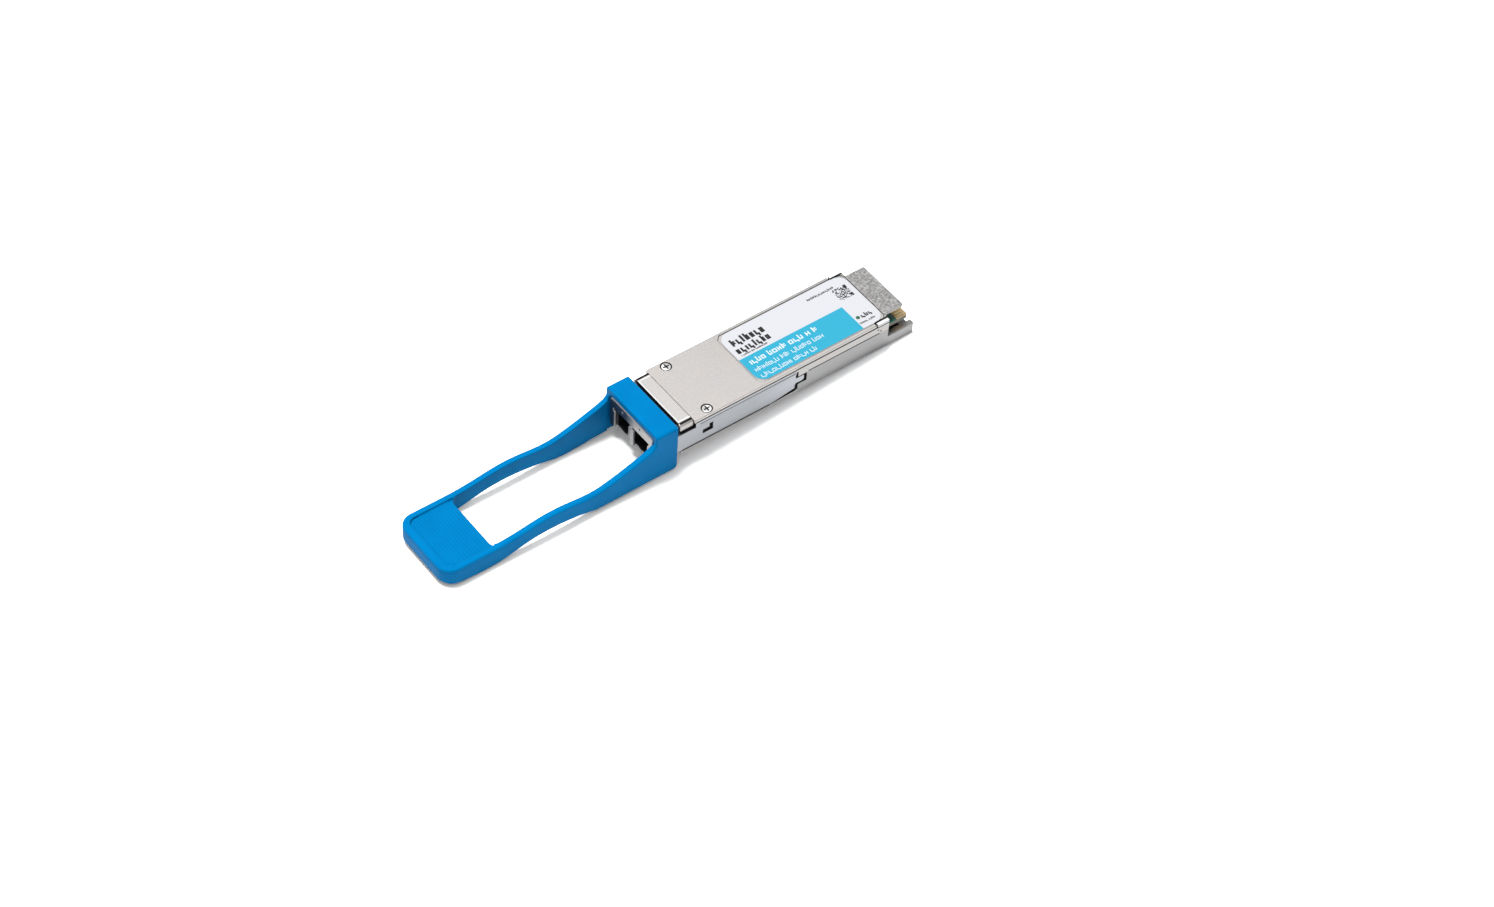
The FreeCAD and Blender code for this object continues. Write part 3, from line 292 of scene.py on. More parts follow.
def steel(name, base, rough=0.30, stretch=(0.06, 6.0, 6.0), brighter=None):
    """Rolled stainless: fine lines along the strip, a few handling scuffs."""
    m = Surface(name)
    lines = m.noise(scale=3.0, detail=4, rough=0.6, place=m.stretch(stretch))
    scuffs = m.noise(scale=0.8, detail=6, rough=0.7, distortion=1.5)
    soft = m.soft_normal(radius=0.06)
    tone = m.ramp(lines, [(0.3, shade(base, 0.88)), (0.7, shade(base, 1.08))])
    if brighter:
        # the sheet catches more light towards +x
        tone = m.mix(m.rise(m.xyz()[0], start=20.0, rate=0.09), tone, brighter)
    tone = m.tint(tone, m.edges(soft), 0.5, (0.9, 0.91, 0.93))
    scuffed = m.times(m.ramp(scuffs, [(0.55, 0.0), (0.7, 1.0)]), 0.10)
    # painted shade darkens the hollows of the sheet's tone
    m.set(Base_Color=m.crease_shade(tone, reach=0.35), Metallic=1.0, Anisotropic=0.35,
          Roughness=m.plus(m.times(lines, 0.10), m.plus(scuffed, rough - 0.05)),
          Normal=m.bump(lines, strength=0.08, depth=0.01, normal=soft))
    return m.material


def plastic(name, base, rough, vary, grain, bump, edge_tone=None, coat=0.0, sss=0.0, spec=0.4,
            gloss_tone=None):
    """Resin, foam or ceramic; vary is the slow shift of tone, grain the scale of the bumps."""
    m = Surface(name)
    slow = m.noise(scale=0.12, detail=3, rough=0.6)
    fine = m.noise(scale=grain, detail=3, rough=0.6)
    tone = m.ramp(slow, [(0.35, shade(base, 1 - vary)), (0.65, shade(base, 1 + vary))])
    soft = m.soft_normal(radius=0.15)
    if edge_tone:
        tone = m.tint(tone, m.edges(soft), 0.5, edge_tone)
    if gloss_tone:
        # grey to bounced light, so that little colour spills on the parts around
        bounced = m.node("LightPath").outputs["Is Diffuse Ray"]
        tone = m.mix(bounced, tone, (0.10, 0.10, 0.10))
        m.set(Specular_Tint=gloss_tone)
    if coat:
        m.set(Coat_Weight=coat, Coat_Roughness=0.25)
    if sss:
        m.set(Subsurface_Weight=sss, Subsurface_Scale=0.6 * MM)
    m.set(Base_Color=tone, Roughness=m.plus(m.times(fine, 0.12), rough - 0.06),
          Specular_IOR_Level=spec, Normal=m.bump(fine, strength=bump, depth=0.02, normal=soft))
    return m.material


def board(name):
    """Solder mask over traces, bare laminate at the contacts, glass-epoxy on the cut edges."""
    m = Surface(name)
    x, y, _ = m.xyz()
    weave = m.plus(m.math("SINE", m.times(x, 9.0)), m.math("SINE", m.times(y, 9.0)))
    traces = m.node("TexBrick", {"Scale": 0.55, "Mortar Size": 0.035,
                                 "Vector": m.place}).outputs["Fac"]
    tone = m.ramp(m.noise(scale=2.0, detail=3),
                  [(0.3, (0.004, 0.075, 0.058)), (0.7, (0.008, 0.12, 0.092))])
    tone = m.tint(tone, traces, 0.5, (0.015, 0.19, 0.14))
    tone = m.mix(m.rise(x, start=60.6, rate=6.0), tone, (0.46, 0.33, 0.18))
    normal = m.node("SeparateXYZ", {0: m.node("NewGeometry").outputs["Normal"]})
    flat = m.math("POWER", m.math("ABSOLUTE", normal.outputs[2]), 2.0)
    height = m.plus(m.times(traces, 1.0), m.times(weave, 0.06))
    m.set(Base_Color=m.mix(flat, (0.13, 0.14, 0.09), tone), Roughness=0.28, Coat_Weight=0.4,
          Normal=m.bump(height, strength=0.25, depth=0.03))
    return m.material


def gold(name, base, rough):
    m = Surface(name)
    streaks = m.noise(scale=6.0, detail=4, rough=0.6, place=m.stretch((0.4, 3.0, 3.0)))
    patches = m.ramp(m.noise(scale=1.2, detail=3), [(0.5, 0.0), (0.8, 0.35)])
    tone = m.ramp(streaks, [(0.3, shade(base, 0.78)), (0.7, base)])
    m.set(Base_Color=m.mix(patches, tone, (0.75, 0.52, 0.24)), Metallic=1.0,
          Roughness=m.plus(m.times(streaks, 0.2), rough - 0.1),
          Normal=m.bump(streaks, strength=0.1, depth=0.01, normal=m.soft_normal(radius=0.05)))
    return m.material


def paper(name, base):
    m = Surface(name)
    clouds = m.noise(scale=1.4, detail=4, rough=0.6)
    fibre = m.noise(scale=14.0, detail=3)
    m.set(Base_Color=m.ramp(clouds, [(0.3, shade(base, 0.975)), (0.7, base)]),
          Roughness=m.plus(m.times(fibre, 0.1), 0.38), Specular_IOR_Level=0.4,
          Normal=m.bump(fibre, strength=0.05, depth=0.006))
    return m.material


def ink(name, base, rough):
    m = Surface(name)
    fine = m.noise(scale=8.0, detail=4, rough=0.6)
    slow = m.noise(scale=0.3, detail=2)
    m.set(Base_Color=m.ramp(fine, [(0.25, shade(base, 0.94)), (0.75, shade(base, 1.03))]),
          Roughness=m.plus(m.times(slow, 0.08), rough - 0.04),
          Normal=m.bump(fine, strength=0.04, depth=0.004))
    return m.material


MATERIALS = {
    "die_cast": casting("nickel_casting", light=(0.80, 0.785, 0.765), dark=(0.52, 0.50, 0.485),
                        local_tones=body_tones),
    "cover_plate": casting("nickel_cover", light=(0.87, 0.83, 0.795), dark=(0.62, 0.59, 0.56),
                           local_tones=cover_tones),
    "screw_steel": steel("screw_plating", (0.94, 0.935, 0.93), rough=0.40, stretch=(3, 3, 3)),
    "label_paper": paper("label_film", (0.70, 0.71, 0.745)),
    "conductive_foam": plastic("conductive_foam", (0.10, 0.10, 0.11), rough=0.8, vary=0.2,
                               grain=6.0, bump=0.5),
    "black_resin": plastic("black_resin", (0.012, 0.012, 0.014), rough=0.38, vary=0.2,
                           grain=8.0, bump=0.15, edge_tone=(0.05, 0.05, 0.055)),
    "turned_steel": steel("turned_steel", (0.66, 0.66, 0.67), rough=0.24,
                          stretch=(8.0, 0.4, 0.4)),
    "zirconia": plastic("zirconia", (0.88, 0.87, 0.83), rough=0.18, vary=0.02,
                        grain=6.0, bump=0.03, coat=0.5, sss=0.3),
    "gold_package": gold("gold_package", (0.90, 0.70, 0.40), rough=0.28),
    "thermal_pad": plastic("thermal_pad", (0.42, 0.50, 0.62), rough=0.85, vary=0.1,
                           grain=7.0, bump=0.6),
    "stamped_steel": steel("stamped_steel", (0.47, 0.487, 0.515), brighter=(0.60, 0.62, 0.66)),
    "polyimide": plastic("polyimide", (0.62, 0.28, 0.05), rough=0.3, vary=0.1,
                         grain=3.0, bump=0.1, coat=0.3),
    "circuit_board": board("solder_mask"),
    "gold_contacts": gold("gold_contacts", (0.93, 0.70, 0.36), rough=0.3),
    "chip_black": plastic("chip_body", (0.022, 0.022, 0.024), rough=0.6, vary=0.15,
                          grain=12.0, bump=0.3),
    "ferrite": plastic("ferrite", (0.10, 0.10, 0.11), rough=0.65, vary=0.2, grain=6.0, bump=0.4),
    "capacitor_tan": plastic("capacitor_body", (0.40, 0.27, 0.15), rough=0.5, vary=0.15,
                             grain=4.0, bump=0.2),
    "foam_pad": plastic("foam_pad", (0.09, 0.09, 0.09), rough=0.9, vary=0.2, grain=4.0, bump=0.8),
    "absorber": plastic("absorber", (0.05, 0.05, 0.055), rough=0.8, vary=0.2, grain=4.0, bump=0.5),
    "blue_resin": plastic("blue_resin", (0.0, 0.222, 0.56), rough=0.42, vary=0.05, grain=7.0,
                          bump=0.10, edge_tone=(0.0, 0.30, 0.72), spec=0.09,
                          gloss_tone=(0.02, 0.50, 1.0)),
    "spring_steel": steel("spring_wire", (0.30, 0.30, 0.32), rough=0.25, stretch=(2, 2, 2)),
}
SLOT = {part["node"]: part["material_slot"] for part in frame["record"]["subparts"]}


def paint(obj, material):
    obj.data.materials.clear()
    obj.data.materials.append(material)


for node_name, obj in nodes.items():
    paint(obj, MATERIALS[SLOT[node_name]])


# ------------------------------------------------------------------ mesh builders
def add_mesh(name, verts, faces, material, smooth=False):
    """A mesh given in millimetres that rides on the housing."""
    mesh = bpy.data.meshes.new(name)
    mesh.from_pydata([(x * MM, y * MM, z * MM) for x, y, z in verts], [], faces)
    mesh.validate()
    bm = bmesh.new()
    bm.from_mesh(mesh)
    bmesh.ops.recalc_face_normals(bm, faces=bm.faces)
    bm.to_mesh(mesh)
    bm.free()
    if smooth:
        mesh.polygons.foreach_set("use_smooth", [True] * len(mesh.polygons))
    obj = bpy.data.objects.new(name, mesh)
    scene.collection.objects.link(obj)
    mesh.materials.append(material)
    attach(obj, "housing")
    return obj


def prisms(name, solids, material):
    """Closed prisms in one piece; each solid is a pair of matching end outlines."""
    verts, faces = [], []
    for near, far in solids:
        n, k = len(near), len(verts)
        verts += near + far
        faces.append(tuple(range(k + n - 1, k - 1, -1)))
        faces.append(tuple(range(k + n, k + 2 * n)))
        for i in range(n):
            j = (i + 1) % n
            faces.append((k + i, k + j, k + n + j, k + n + i))
    add_mesh(name, verts, faces, material)


def upright(outline, z0, z1):
    return [(x, y, z0) for x, y in outline], [(x, y, z1) for x, y in outline]


def rectangle(x0, x1, y0, y1):
    return [(x0, y0), (x1, y0), (x1, y1), (x0, y1)]


def arc(x, y, radius, start, end, count):
    """Points on a circle about (x, y); the angles are degrees."""
    return [(x + radius * math.cos(t), y + radius * math.sin(t))
            for t in np.radians(np.linspace(start, end, count))]


def printed_row(area, groups, weight, wide, seed):
    """A printed line of plain strokes in word-like groups: it reads as print, spells nothing."""
    x0, x1, y0, y1 = area
    random = np.random.default_rng(seed)
    height = y1 - y0
    mid = y0 + height * 0.72
    half = y0 + (mid - y0) * 0.5
    pen = height * weight
    strokes, x, last = [], x0, -1
    for count in groups:
        for _ in range(count):
            kind = int(random.integers(0, 6))
            if kind == last:
                kind = (kind + 1) % 6
            last = kind
            width = height * wide * (0.9 + 0.25 * random.random())
            if kind == 4:
                width = pen * 1.1
            if x + width > x1:
                return strokes
            end = x + width
            if kind == 0:          # tall post with a low block
                parts = [(x, x + pen, y0, y1), (x + pen, end, y0, y0 + pen),
                         (end - pen, end, y0 + pen, mid)]
            elif kind == 1:        # open frame
                parts = [(x, end, y0, y0 + pen), (x, end, mid - pen, mid),
                         (x, x + pen, y0 + pen, mid - pen), (end - pen, end, y0 + pen, mid - pen)]
            elif kind == 2:        # two posts and a bar
                parts = [(x, x + pen, y0, mid), (end - pen, end, y0, mid),
                         (x + pen, end - pen, half - pen / 2, half + pen / 2)]
            elif kind == 3:        # bars on a post
                low = y0 + height * 0.22
                parts = [(x, x + pen, y0, y1), (x + pen, end, mid - pen, mid),
                         (x + pen, end, low, low + pen)]
            elif kind == 4:        # single post
                parts = [(x, end, y0, y1 if random.random() < 0.5 else mid)]
            else:                  # step
                parts = [(x, end, y0, y0 + pen), (x, x + pen, y0 + pen, mid),
                         (end - pen, end, y0 - height * 0.2, y0)]
            strokes += [rectangle(*part) for part in parts]
            x = end + height * 0.16
        x += height * 0.42
    return strokes


# ------------------------------------------------------------------ label print
LABEL_Z = 8.46
PANEL_X0, PANEL_X1 = 22.15, 50.9
PANEL_Y0, PANEL_Y1 = -8.1, -0.15
PANEL_CORNER = 2.6                  # radius of its one rounded corner
PANEL_INSET = 0.02
DOTS_X, DOTS_Y, DOTS_SIZE, DOTS_COUNT = 52.0, 1.35, 3.8, 15

cyan = ink("label_blue_ink", (0.022, 0.42, 0.62), rough=0.32)
white = ink("label_white_ink", (0.78, 0.84, 0.88), rough=0.34)
black = ink("label_black_ink", (0.012, 0.012, 0.014), rough=0.38)
grey = ink("label_grey_ink", (0.045, 0.045, 0.05), rough=0.38)
green = ink("label_green_ink", (0.02, 0.13, 0.05), rough=0.38)

# (x0, x1, y0, y1), marks per group, stroke weight and mark width (parts of the height), seed
WHITE_ROWS = [
    ((23.8, 42.3, -2.75, -1.15), [4, 4, 3, 1, 1], 0.19, 0.62, 5),
    ((23.4, 45.9, -5.05, -3.75), [8, 3, 6, 3], 0.13, 0.58, 6),
    ((23.5, 40.8, -7.20, -5.90), [9, 4, 2], 0.13, 0.58, 7)]
DARK_ROWS = [
    ((23.7, 33.0, 3.75, 5.95), [8], 0.24, 0.42, 28),
    ((23.3, 32.4, 1.30, 3.30), [8], 0.25, 0.46, 9),
    ((23.5, 31.9, 0.42, 0.92), [1, 5, 2, 8], 0.3, 0.7, 10)]
SMALL_ROWS = [
    ((45.7, 55.6, 5.55, 6.25), [17], 0.24, 0.5, 11),
    ((51.2, 56.1, -6.75, -6.15), [5, 5], 0.26, 0.55, 12)]
MARK_ROWS = [((52.7, 56.3, -5.35, -4.15), [4], 0.28, 0.62, 13)]


def print_on_label(name, outlines, colour, below=0.006, above=0.008):
    prisms(name, [upright(outline, LABEL_Z - below, LABEL_Z + above) for outline in outlines],
           colour)


def print_rows(name, rows, colour, **levels):
    print_on_label(name, [mark for row in rows for mark in printed_row(*row)], colour, **levels)


def colour_panel():
    corner = arc(PANEL_X0 + PANEL_CORNER, PANEL_Y0 + PANEL_CORNER, PANEL_CORNER, 180, 270, 14)
    outline = ([(PANEL_X0 + 0.03, PANEL_Y1)]
               + [(x + PANEL_INSET, y + PANEL_INSET) for x, y in corner]
               + [(PANEL_X1, PANEL_Y0 + PANEL_INSET), (PANEL_X1, PANEL_Y1)])
    print_on_label("label_colour_panel", [outline[::-1]], cyan, above=0.005)


def dot_field():
    random = np.random.default_rng(41)
    pitch = DOTS_SIZE / DOTS_COUNT
    side = pitch * 0.98
    cells = []
    for i in range(DOTS_COUNT):
        for j in range(DOTS_COUNT):
            if random.random() < 0.56:
                x, y = DOTS_X + i * pitch, DOTS_Y + j * pitch
                cells.append(rectangle(x, x + side, y, y + side))
    print_on_label("label_dot_field", cells, black)


colour_panel()
print_rows("label_white_rows", WHITE_ROWS, white, below=0.001, above=0.011)
print_rows("label_dark_rows", DARK_ROWS, black)
print_rows("label_small_rows", SMALL_ROWS, grey)
dot_field()
print_on_label("label_round_mark", [arc(51.9, -4.75, 0.5, 0, 360, 25)[:-1]], green)
print_rows("label_mark_rows", MARK_ROWS, black)

# ------------------------------------------------------------------ painted shade: dark sheets in the gaps, standing in for their shadow
# painted shade: a near-black material for sheets laid where gaps and recesses lie in shadow
GAP_SHADE = plastic("painted_gap_shade", (0.010, 0.010, 0.012), rough=0.75, vary=0.3, grain=6.0,
                 bump=0.3, spec=0.15)

# thin boxes: x0, x1, y0, y1, z0, z1
SLIDER_GAPS = [
    (0.6, 24.3, 9.085, 9.178, 0.77, 0.93), (31.96, 34.05, 9.085, 9.178, 5.03, 5.29),
    (31.44, 31.95, 9.085, 9.178, 5.04, 6.89), (31.25, 31.95, 9.085, 9.178, 1.35, 3.0),
    (9.2, 31.93, 8.572, 8.60, 1.52, 6.18), (9.2, 24.3, 8.572, 8.60, 0.82, 1.52),
    (22.0, 24.4, 8.572, 9.12, 0.80, 0.83), (31.92, 31.95, 8.572, 9.12, 1.5, 2.83),
    (31.96, 34.39, 8.102, 8.13, 2.87, 5.28), (31.96, 34.39, 8.102, 9.14, 2.85, 2.88),
    (34.37, 34.40, 8.102, 9.14, 2.85, 5.30), (31.96, 34.39, 8.102, 9.15, 5.27, 5.30),
    (31.46, 31.949, 8.102, 8.13, 6.2, 6.89), (31.92, 31.949, 8.102, 9.15, 5.3, 6.89),
    (31.451, 31.48, 8.102, 9.15, 6.2, 6.89), (1.25, 8.85, 6.975, 7.0, 3.42, 5.18),
    (1.25, 7.2, 7.0, 8.5, 3.40, 3.42), (5.0, 9.2, 8.572, 8.60, 2.6, 3.40),
    (5.0, 9.2, 8.572, 8.60, 5.2, 6.18), (8.9, 9.2, 8.572, 8.60, 3.4, 5.2)]
FRONT_GAPS = [
    (0.02, 3.9, 8.102, 8.13, 6.13, 6.49), (0.02, 3.9, 8.12, 8.57, 6.10, 6.13),
    (0.02, 3.5, 8.12, 8.58, 6.47, 6.495), (3.5, 3.9, 8.502, 8.53, 6.5, 7.69),
    (3.87, 3.899, 8.52, 9.15, 6.2, 7.69), (3.95, 31.3, 8.97, 9.187, 7.49, 7.84),
    (31.3, 54.05, 8.97, 9.187, 7.52, 7.92), (5.0, 31.2, 9.10, 9.187, 6.60, 6.78)]
NOSE_GAPS = [
    (-0.96, -0.02, -7.1, 7.1, 7.90, 7.94), (-0.96, -0.02, 7.83, 7.86, 1.0, 7.2),
    (-0.035, -0.005, -8.0, 8.0, 7.94, 8.49), (-0.03, 0.24, -7.9, 7.9, 8.49, 8.506),
    (-0.035, -0.005, 7.87, 8.56, 0.3, 6.0)]
# painted shade under the board: a dark floor in the well between the tongue's rails
TONGUE_GAPS = [(57.45, 62.2, 7.66, 7.695, 1.15, 2.74), (57.45, 63.0, -7.6, 7.6, 1.11, 1.14)]
REAR_GAPS = [
    (34.85, 54.85, 8.90, 9.186, 5.38, 5.66), (54.22, 57.38, 8.115, 8.37, 7.71, 8.40),
    (54.1, 57.45, 8.03, 8.43, 8.36, 8.535), (54.05, 57.38, 9.13, 9.19, 7.48, 7.72)]
DIMPLE_HALF = 0.15
DIMPLES = [(54.4, 6.7), (55.2, 6.05)]                            # x, z of the centres
# x, z outlines under the slider, each with the y where it starts and ends
RAMP_EDGE = [(24.3, 0.80), (31.45, 1.15), (31.95, 1.5), (31.95, 1.55), (31.43, 1.18), (24.3, 0.83)]
RAMP_BACK = [(24.3, 0.84), (31.4, 1.19), (31.9, 1.52), (24.3, 1.52)]
RAMPS = [("gap_lining_ramp_", RAMP_EDGE, 8.575, 9.12),
         ("gap_lining_ramp_back_", RAMP_BACK, 8.572, 8.60)]


def shade_boxes(name, boxes):
    """Boxes in one piece, each made on both sides unless it spans the middle."""
    solids = []
    for x0, x1, y0, y1, z0, z1 in boxes:
        solids.append(upright(rectangle(x0, x1, y0, y1), z0, z1))
        if y0 > 0:
            solids.append(upright(rectangle(x0, x1, -y1, -y0), z0, z1))
    prisms(name, solids, GAP_SHADE)


shade_boxes("gap_shade_slider", SLIDER_GAPS)
for side, tag in ((1, "left"), (-1, "right")):
    for name, profile, y0, y1 in RAMPS:
        ends = [[(x, side * y, z) for x, z in profile] for y in (y0, y1)]
        prisms(name + tag, [ends], GAP_SHADE)
shade_boxes("gap_shade_front", FRONT_GAPS)
shade_boxes("gap_shade_nose", NOSE_GAPS)
shade_boxes("gap_shade_tongue", TONGUE_GAPS)
shade_boxes("gap_shade_rear", REAR_GAPS)
shade_boxes("gap_shade_dimples", [
    (x - DIMPLE_HALF, x + DIMPLE_HALF, 8.90, 9.10, z - DIMPLE_HALF, z + DIMPLE_HALF)
    for x, z in DIMPLES])

# ------------------------------------------------------------------ shades round the cover's details
SCREW_X = 7.93
SCREW_YS = (7.5, -7.5)
SCREW_TOP = 8.47
RIM_RADIUS, RIM_INNER_RADIUS = 1.36, 1.15
RIM_SHIFT = 0.20                    # the crescent's inner circle is moved away from its thick side
RIM_FACING = 56                     # degrees, the direction of the thick side
RECESS_ARM, RECESS_REACH = 0.19, 0.78   # half width and length of the cross's arms
DIP_X0, DIP_X1, DIP_HALF_WIDTH, DIP_CUT = 21.85, 57.35, 8.4, 1.1
DIP_SHADE_LINE = 0.11                     # width of the painted shade line round the label's dip


def hollow(name, loops, z0, z1):
    """Upright walls, each between two matching closed loops."""
    verts, faces = [], []
    for first, second in loops:
        n, k = len(first), len(verts)
        verts += [(x, y, z) for z in (z0, z1) for x, y in first + second]
        a, b, c, d = k, k + n, k + 2 * n, k + 3 * n
        for i in range(n):
            j = (i + 1) % n
            faces += [(a + i, a + j, b + j, b + i), (c + i, d + i, d + j, c + j),
                      (b + i, b + j, d + j, d + i), (a + i, c + i, c + j, a + j)]
    add_mesh(name, verts, faces, GAP_SHADE)


def rim_crescents():
    facing = math.radians(RIM_FACING)
    inner_x = SCREW_X - RIM_SHIFT * math.cos(facing)
    quads = []
    for y in SCREW_YS:
        outer = arc(SCREW_X, y, RIM_RADIUS, RIM_FACING - 118, RIM_FACING + 118, 33)
        inner = arc(inner_x, y - RIM_SHIFT * math.sin(facing), RIM_INNER_RADIUS,
                    RIM_FACING - 112, RIM_FACING + 112, 33)
        quads += [[outer[i], outer[i + 1], inner[i + 1], inner[i]] for i in range(32)]
    prisms("screw_rim_shade", [upright(quad, SCREW_TOP, 8.507) for quad in quads],
           GAP_SHADE)


def recess_crosses():
    a, b = RECESS_ARM, RECESS_REACH
    cross = [(-a, -b), (a, -b), (a, -a), (b, -a), (b, a), (a, a),
             (a, b), (-a, b), (-a, a), (-b, a), (-b, -a), (-a, -a)]
    prisms("screw_recess_shade",
           [upright([(SCREW_X + x, centre + y) for x, y in cross], 8.142, 8.486)
            for centre in SCREW_YS], GAP_SHADE)


def cut_rectangle(x0, x1, half_width, cut):
    w = half_width
    return [(x0, cut - w), (x0 + cut, -w), (x1 - cut, -w), (x1, cut - w),
            (x1, w - cut), (x1 - cut, w), (x0 + cut, w), (x0, w - cut)]


hollow("screw_shadow_rings",
       [[arc(SCREW_X, y, radius, 0, 360, 41)[:-1] for radius in (1.16, 1.325)]
        for y in SCREW_YS], 8.002, SCREW_TOP)
rim_crescents()
recess_crosses()
# painted shade: a dark line round the foot of the label's dip
hollow("label_dip_shade",
       [(cut_rectangle(DIP_X0, DIP_X1, DIP_HALF_WIDTH, DIP_CUT),
         cut_rectangle(DIP_X0 + DIP_SHADE_LINE, DIP_X1 - DIP_SHADE_LINE, DIP_HALF_WIDTH - DIP_SHADE_LINE,
                       DIP_CUT - 0.59 * DIP_SHADE_LINE))], 8.362, 8.385)

# ------------------------------------------------------------------ moulded pull tab
TAB_VOXEL, TAB_SMOOTHING, TAB_SWELL = 0.13, 6, 0.04
GROOVE_Z, GROOVE_HALF, GROOVE_DEPTH = 0.42, 0.22, 0.10
GROOVE_START, GROOVE_FADE = -44.0, 2.0      # x where it starts, and the length it deepens over


def moulded_tab():
    """The CAD tab with its edges melted to small radii and a groove round its outer rim."""
    name = "moulded_pull_tab"
    source = nodes["pull_tab"]
    copied = source.data.copy()
    copied.name = name
    obj = bpy.data.objects.new(name, copied)
    scene.collection.objects.link(obj)
    obj.matrix_world = source.matrix_world.copy()
    remesh = obj.modifiers.new("grow_skin", "REMESH")
    remesh.mode = "VOXEL"
    remesh.voxel_size = TAB_VOXEL * MM
    remesh.use_smooth_shade = True
    smooth = obj.modifiers.new("soften", "SMOOTH")
    smooth.factor = 0.5
    smooth.iterations = TAB_SMOOTHING
    depsgraph = bpy.context.evaluated_depsgraph_get()
    mesh = bpy.data.meshes.new_from_object(obj.evaluated_get(depsgraph), depsgraph=depsgraph)
    obj.modifiers.clear()
    bm = bmesh.new()
    bm.from_mesh(mesh)
    bm.normal_update()
    for vert in bm.verts:
        vert.co += vert.normal * (TAB_SWELL * MM)
        x, y, z = (value / MM for value in vert.co)
        on_rim = abs(vert.normal.z) < 0.6 and (abs(y) > 8.2 or x < -60.1)
        off = abs(z - GROOVE_Z)
        if x < GROOVE_START and on_rim and off < GROOVE_HALF:
            fade = min(1.0, (GROOVE_START - x) / GROOVE_FADE)
            vert.co -= vert.normal * (GROOVE_DEPTH * MM * (1.0 - off / GROOVE_HALF) * fade)
    bm.to_mesh(mesh)
    bm.free()
    obj.data = mesh
    mesh.name = name
    mesh.polygons.foreach_set("use_smooth", [True] * len(mesh.polygons))
    paint(obj, MATERIALS["blue_resin"])
    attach(obj, "delatch_slider")
    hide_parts("pull_tab")


moulded_tab()

# ------------------------------------------------------------------ return springs
WIRE_RADIUS, COIL_RADIUS = 0.11, 0.61
COIL_X0, COIL_X1, COIL_Z = 1.33, 7.12, 4.3
COIL_TURNS, COIL_STEPS, WIRE_SIDES = 9, 40, 10


def coil(side, y):
    """A coiled return spring, made at one length; nothing here shortens it with the slider."""
    n, m = COIL_TURNS * COIL_STEPS, WIRE_SIDES
    verts, faces = [], []
    for i in range(n + 1):
        turn = 2 * math.pi * COIL_TURNS * i / n
        x = COIL_X0 + (COIL_X1 - COIL_X0) * i / n
        for j in range(m):
            around = 2 * math.pi * j / m
            radius = COIL_RADIUS + WIRE_RADIUS * math.cos(around)
            verts.append((x + WIRE_RADIUS * math.sin(around),
                          y + radius * math.sin(turn), COIL_Z + radius * math.cos(turn)))
    for i in range(n):
        for j in range(m):
            k = (j + 1) % m
            faces.append((i * m + j, i * m + k, (i + 1) * m + k, (i + 1) * m + j))
    faces.append(tuple(range(m - 1, -1, -1)))
    faces.append(tuple(range(n * m, n * m + m)))
    obj = add_mesh("coil_spring_" + side, verts, faces, MATERIALS["spring_steel"],
                   smooth=True)
    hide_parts("return_spring_" + side)
    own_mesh(obj)


coil("left", 7.8)
coil("right", -7.8)


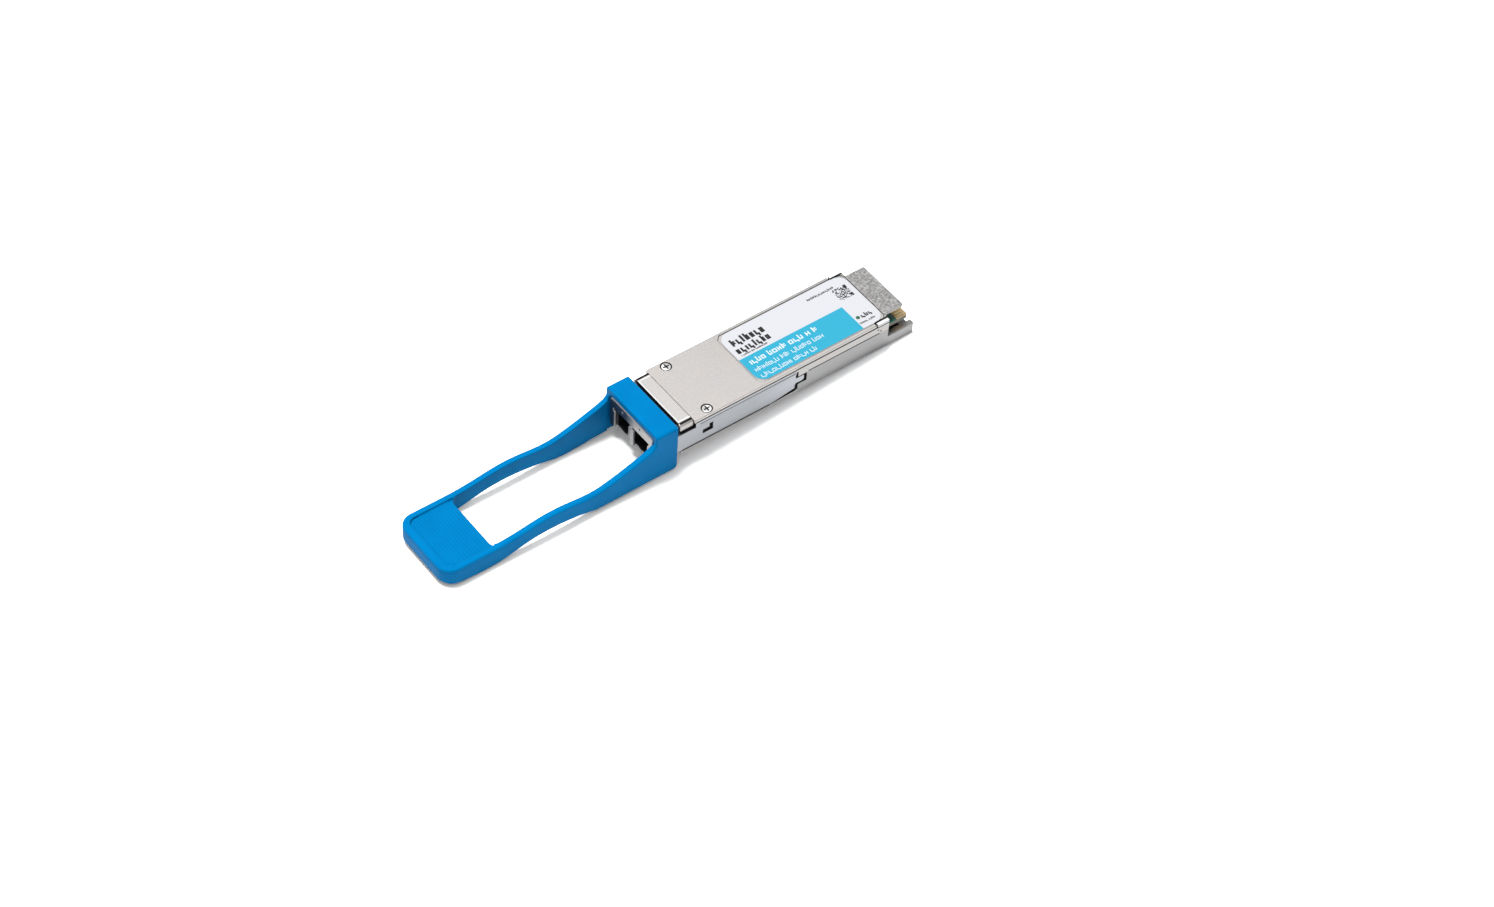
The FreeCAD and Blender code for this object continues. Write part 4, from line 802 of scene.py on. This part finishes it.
# ------------------------------------------------------------------ stage, light, camera (metres)
def add_floor():
    """The module rests on its tab and its host end, so the floor rises gently between them."""
    half = 3.0
    front_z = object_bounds()[0][2] - 0.00002
    rear_z = -0.00003
    profile = [(-half, front_z), (-0.003, front_z), (0.064, rear_z), (half, rear_z)]
    mesh = bpy.data.meshes.new("floor")
    mesh.from_pydata([(x, y, z) for x, z in profile for y in (-half, half)], [],
                     [(2 * i, 2 * i + 2, 2 * i + 3, 2 * i + 1) for i in range(3)])
    floor = bpy.data.objects.new("floor", mesh)
    scene.collection.objects.link(floor)
    material = bpy.data.materials.new("pale_floor")
    m = Nodes(material)
    # brighter to the camera than to the light it bounces
    tone = m.mix(m.node("LightPath").outputs["Is Camera Ray"],
                 (0.85, 0.85, 0.85), (1.80, 1.80, 1.78))
    m.node("OutputMaterial", {0: m.node("BsdfDiffuse", {0: tone}).outputs[0]})
    mesh.materials.append(material)


def add_world():
    """Grey sky that lightens upwards, near white where the camera sees it."""
    world = bpy.data.worlds.new("studio")
    scene.world = world
    w = Nodes(world)
    direction = w.node("SeparateXYZ", {0: w.node("TexCoord").outputs["Generated"]})
    sky = w.ramp(direction.outputs[2],
                 [(0.0, (0.15, 0.155, 0.165)), (0.85, (0.60, 0.61, 0.625))])
    tone = w.mix(w.node("LightPath").outputs["Is Camera Ray"], sky, (1.05, 1.05, 1.05))
    w.node("OutputWorld", {0: w.node("Background", {0: tone, 1: 1.0}).outputs[0]})


def add_key():
    """A very soft key from a wide, far source, so that the floor is lit evenly."""
    light = bpy.data.lights.new("key", "SUN")
    light.energy = 2.42
    light.angle = math.radians(17)
    light.color = (1.0, 0.995, 0.985)
    obj = bpy.data.objects.new("key", light)
    scene.collection.objects.link(obj)
    towards = Vector((0.07, -0.20, -1.0))
    obj.rotation_euler = towards.normalized().to_track_quat("-Z", "Y").to_euler()


def add_camera():
    camera = bpy.data.cameras.new("camera")
    camera.sensor_width = 36.0      # sensor and lens in millimetres
    camera.lens = 86.214458
    camera.shift_x = -0.00138
    camera.shift_y = -0.0002
    camera.clip_start = 0.01
    obj = bpy.data.objects.new("camera", camera)
    scene.collection.objects.link(obj)
    # columns: the camera's right, up and backward directions, then its place
    obj.matrix_world = Matrix(((0.7972423, 0.4258524, -0.4278487, -0.3209291),
                               (-0.6018637, 0.6153715, -0.5089971, -0.4140030),
                               (0.0465283, 0.6633006, 0.7469053, 0.5820215),
                               (0.0, 0.0, 0.0, 1.0)))
    scene.camera = obj


add_floor()
add_world()
add_key()
add_camera()
scene.view_settings.view_transform = "Standard"
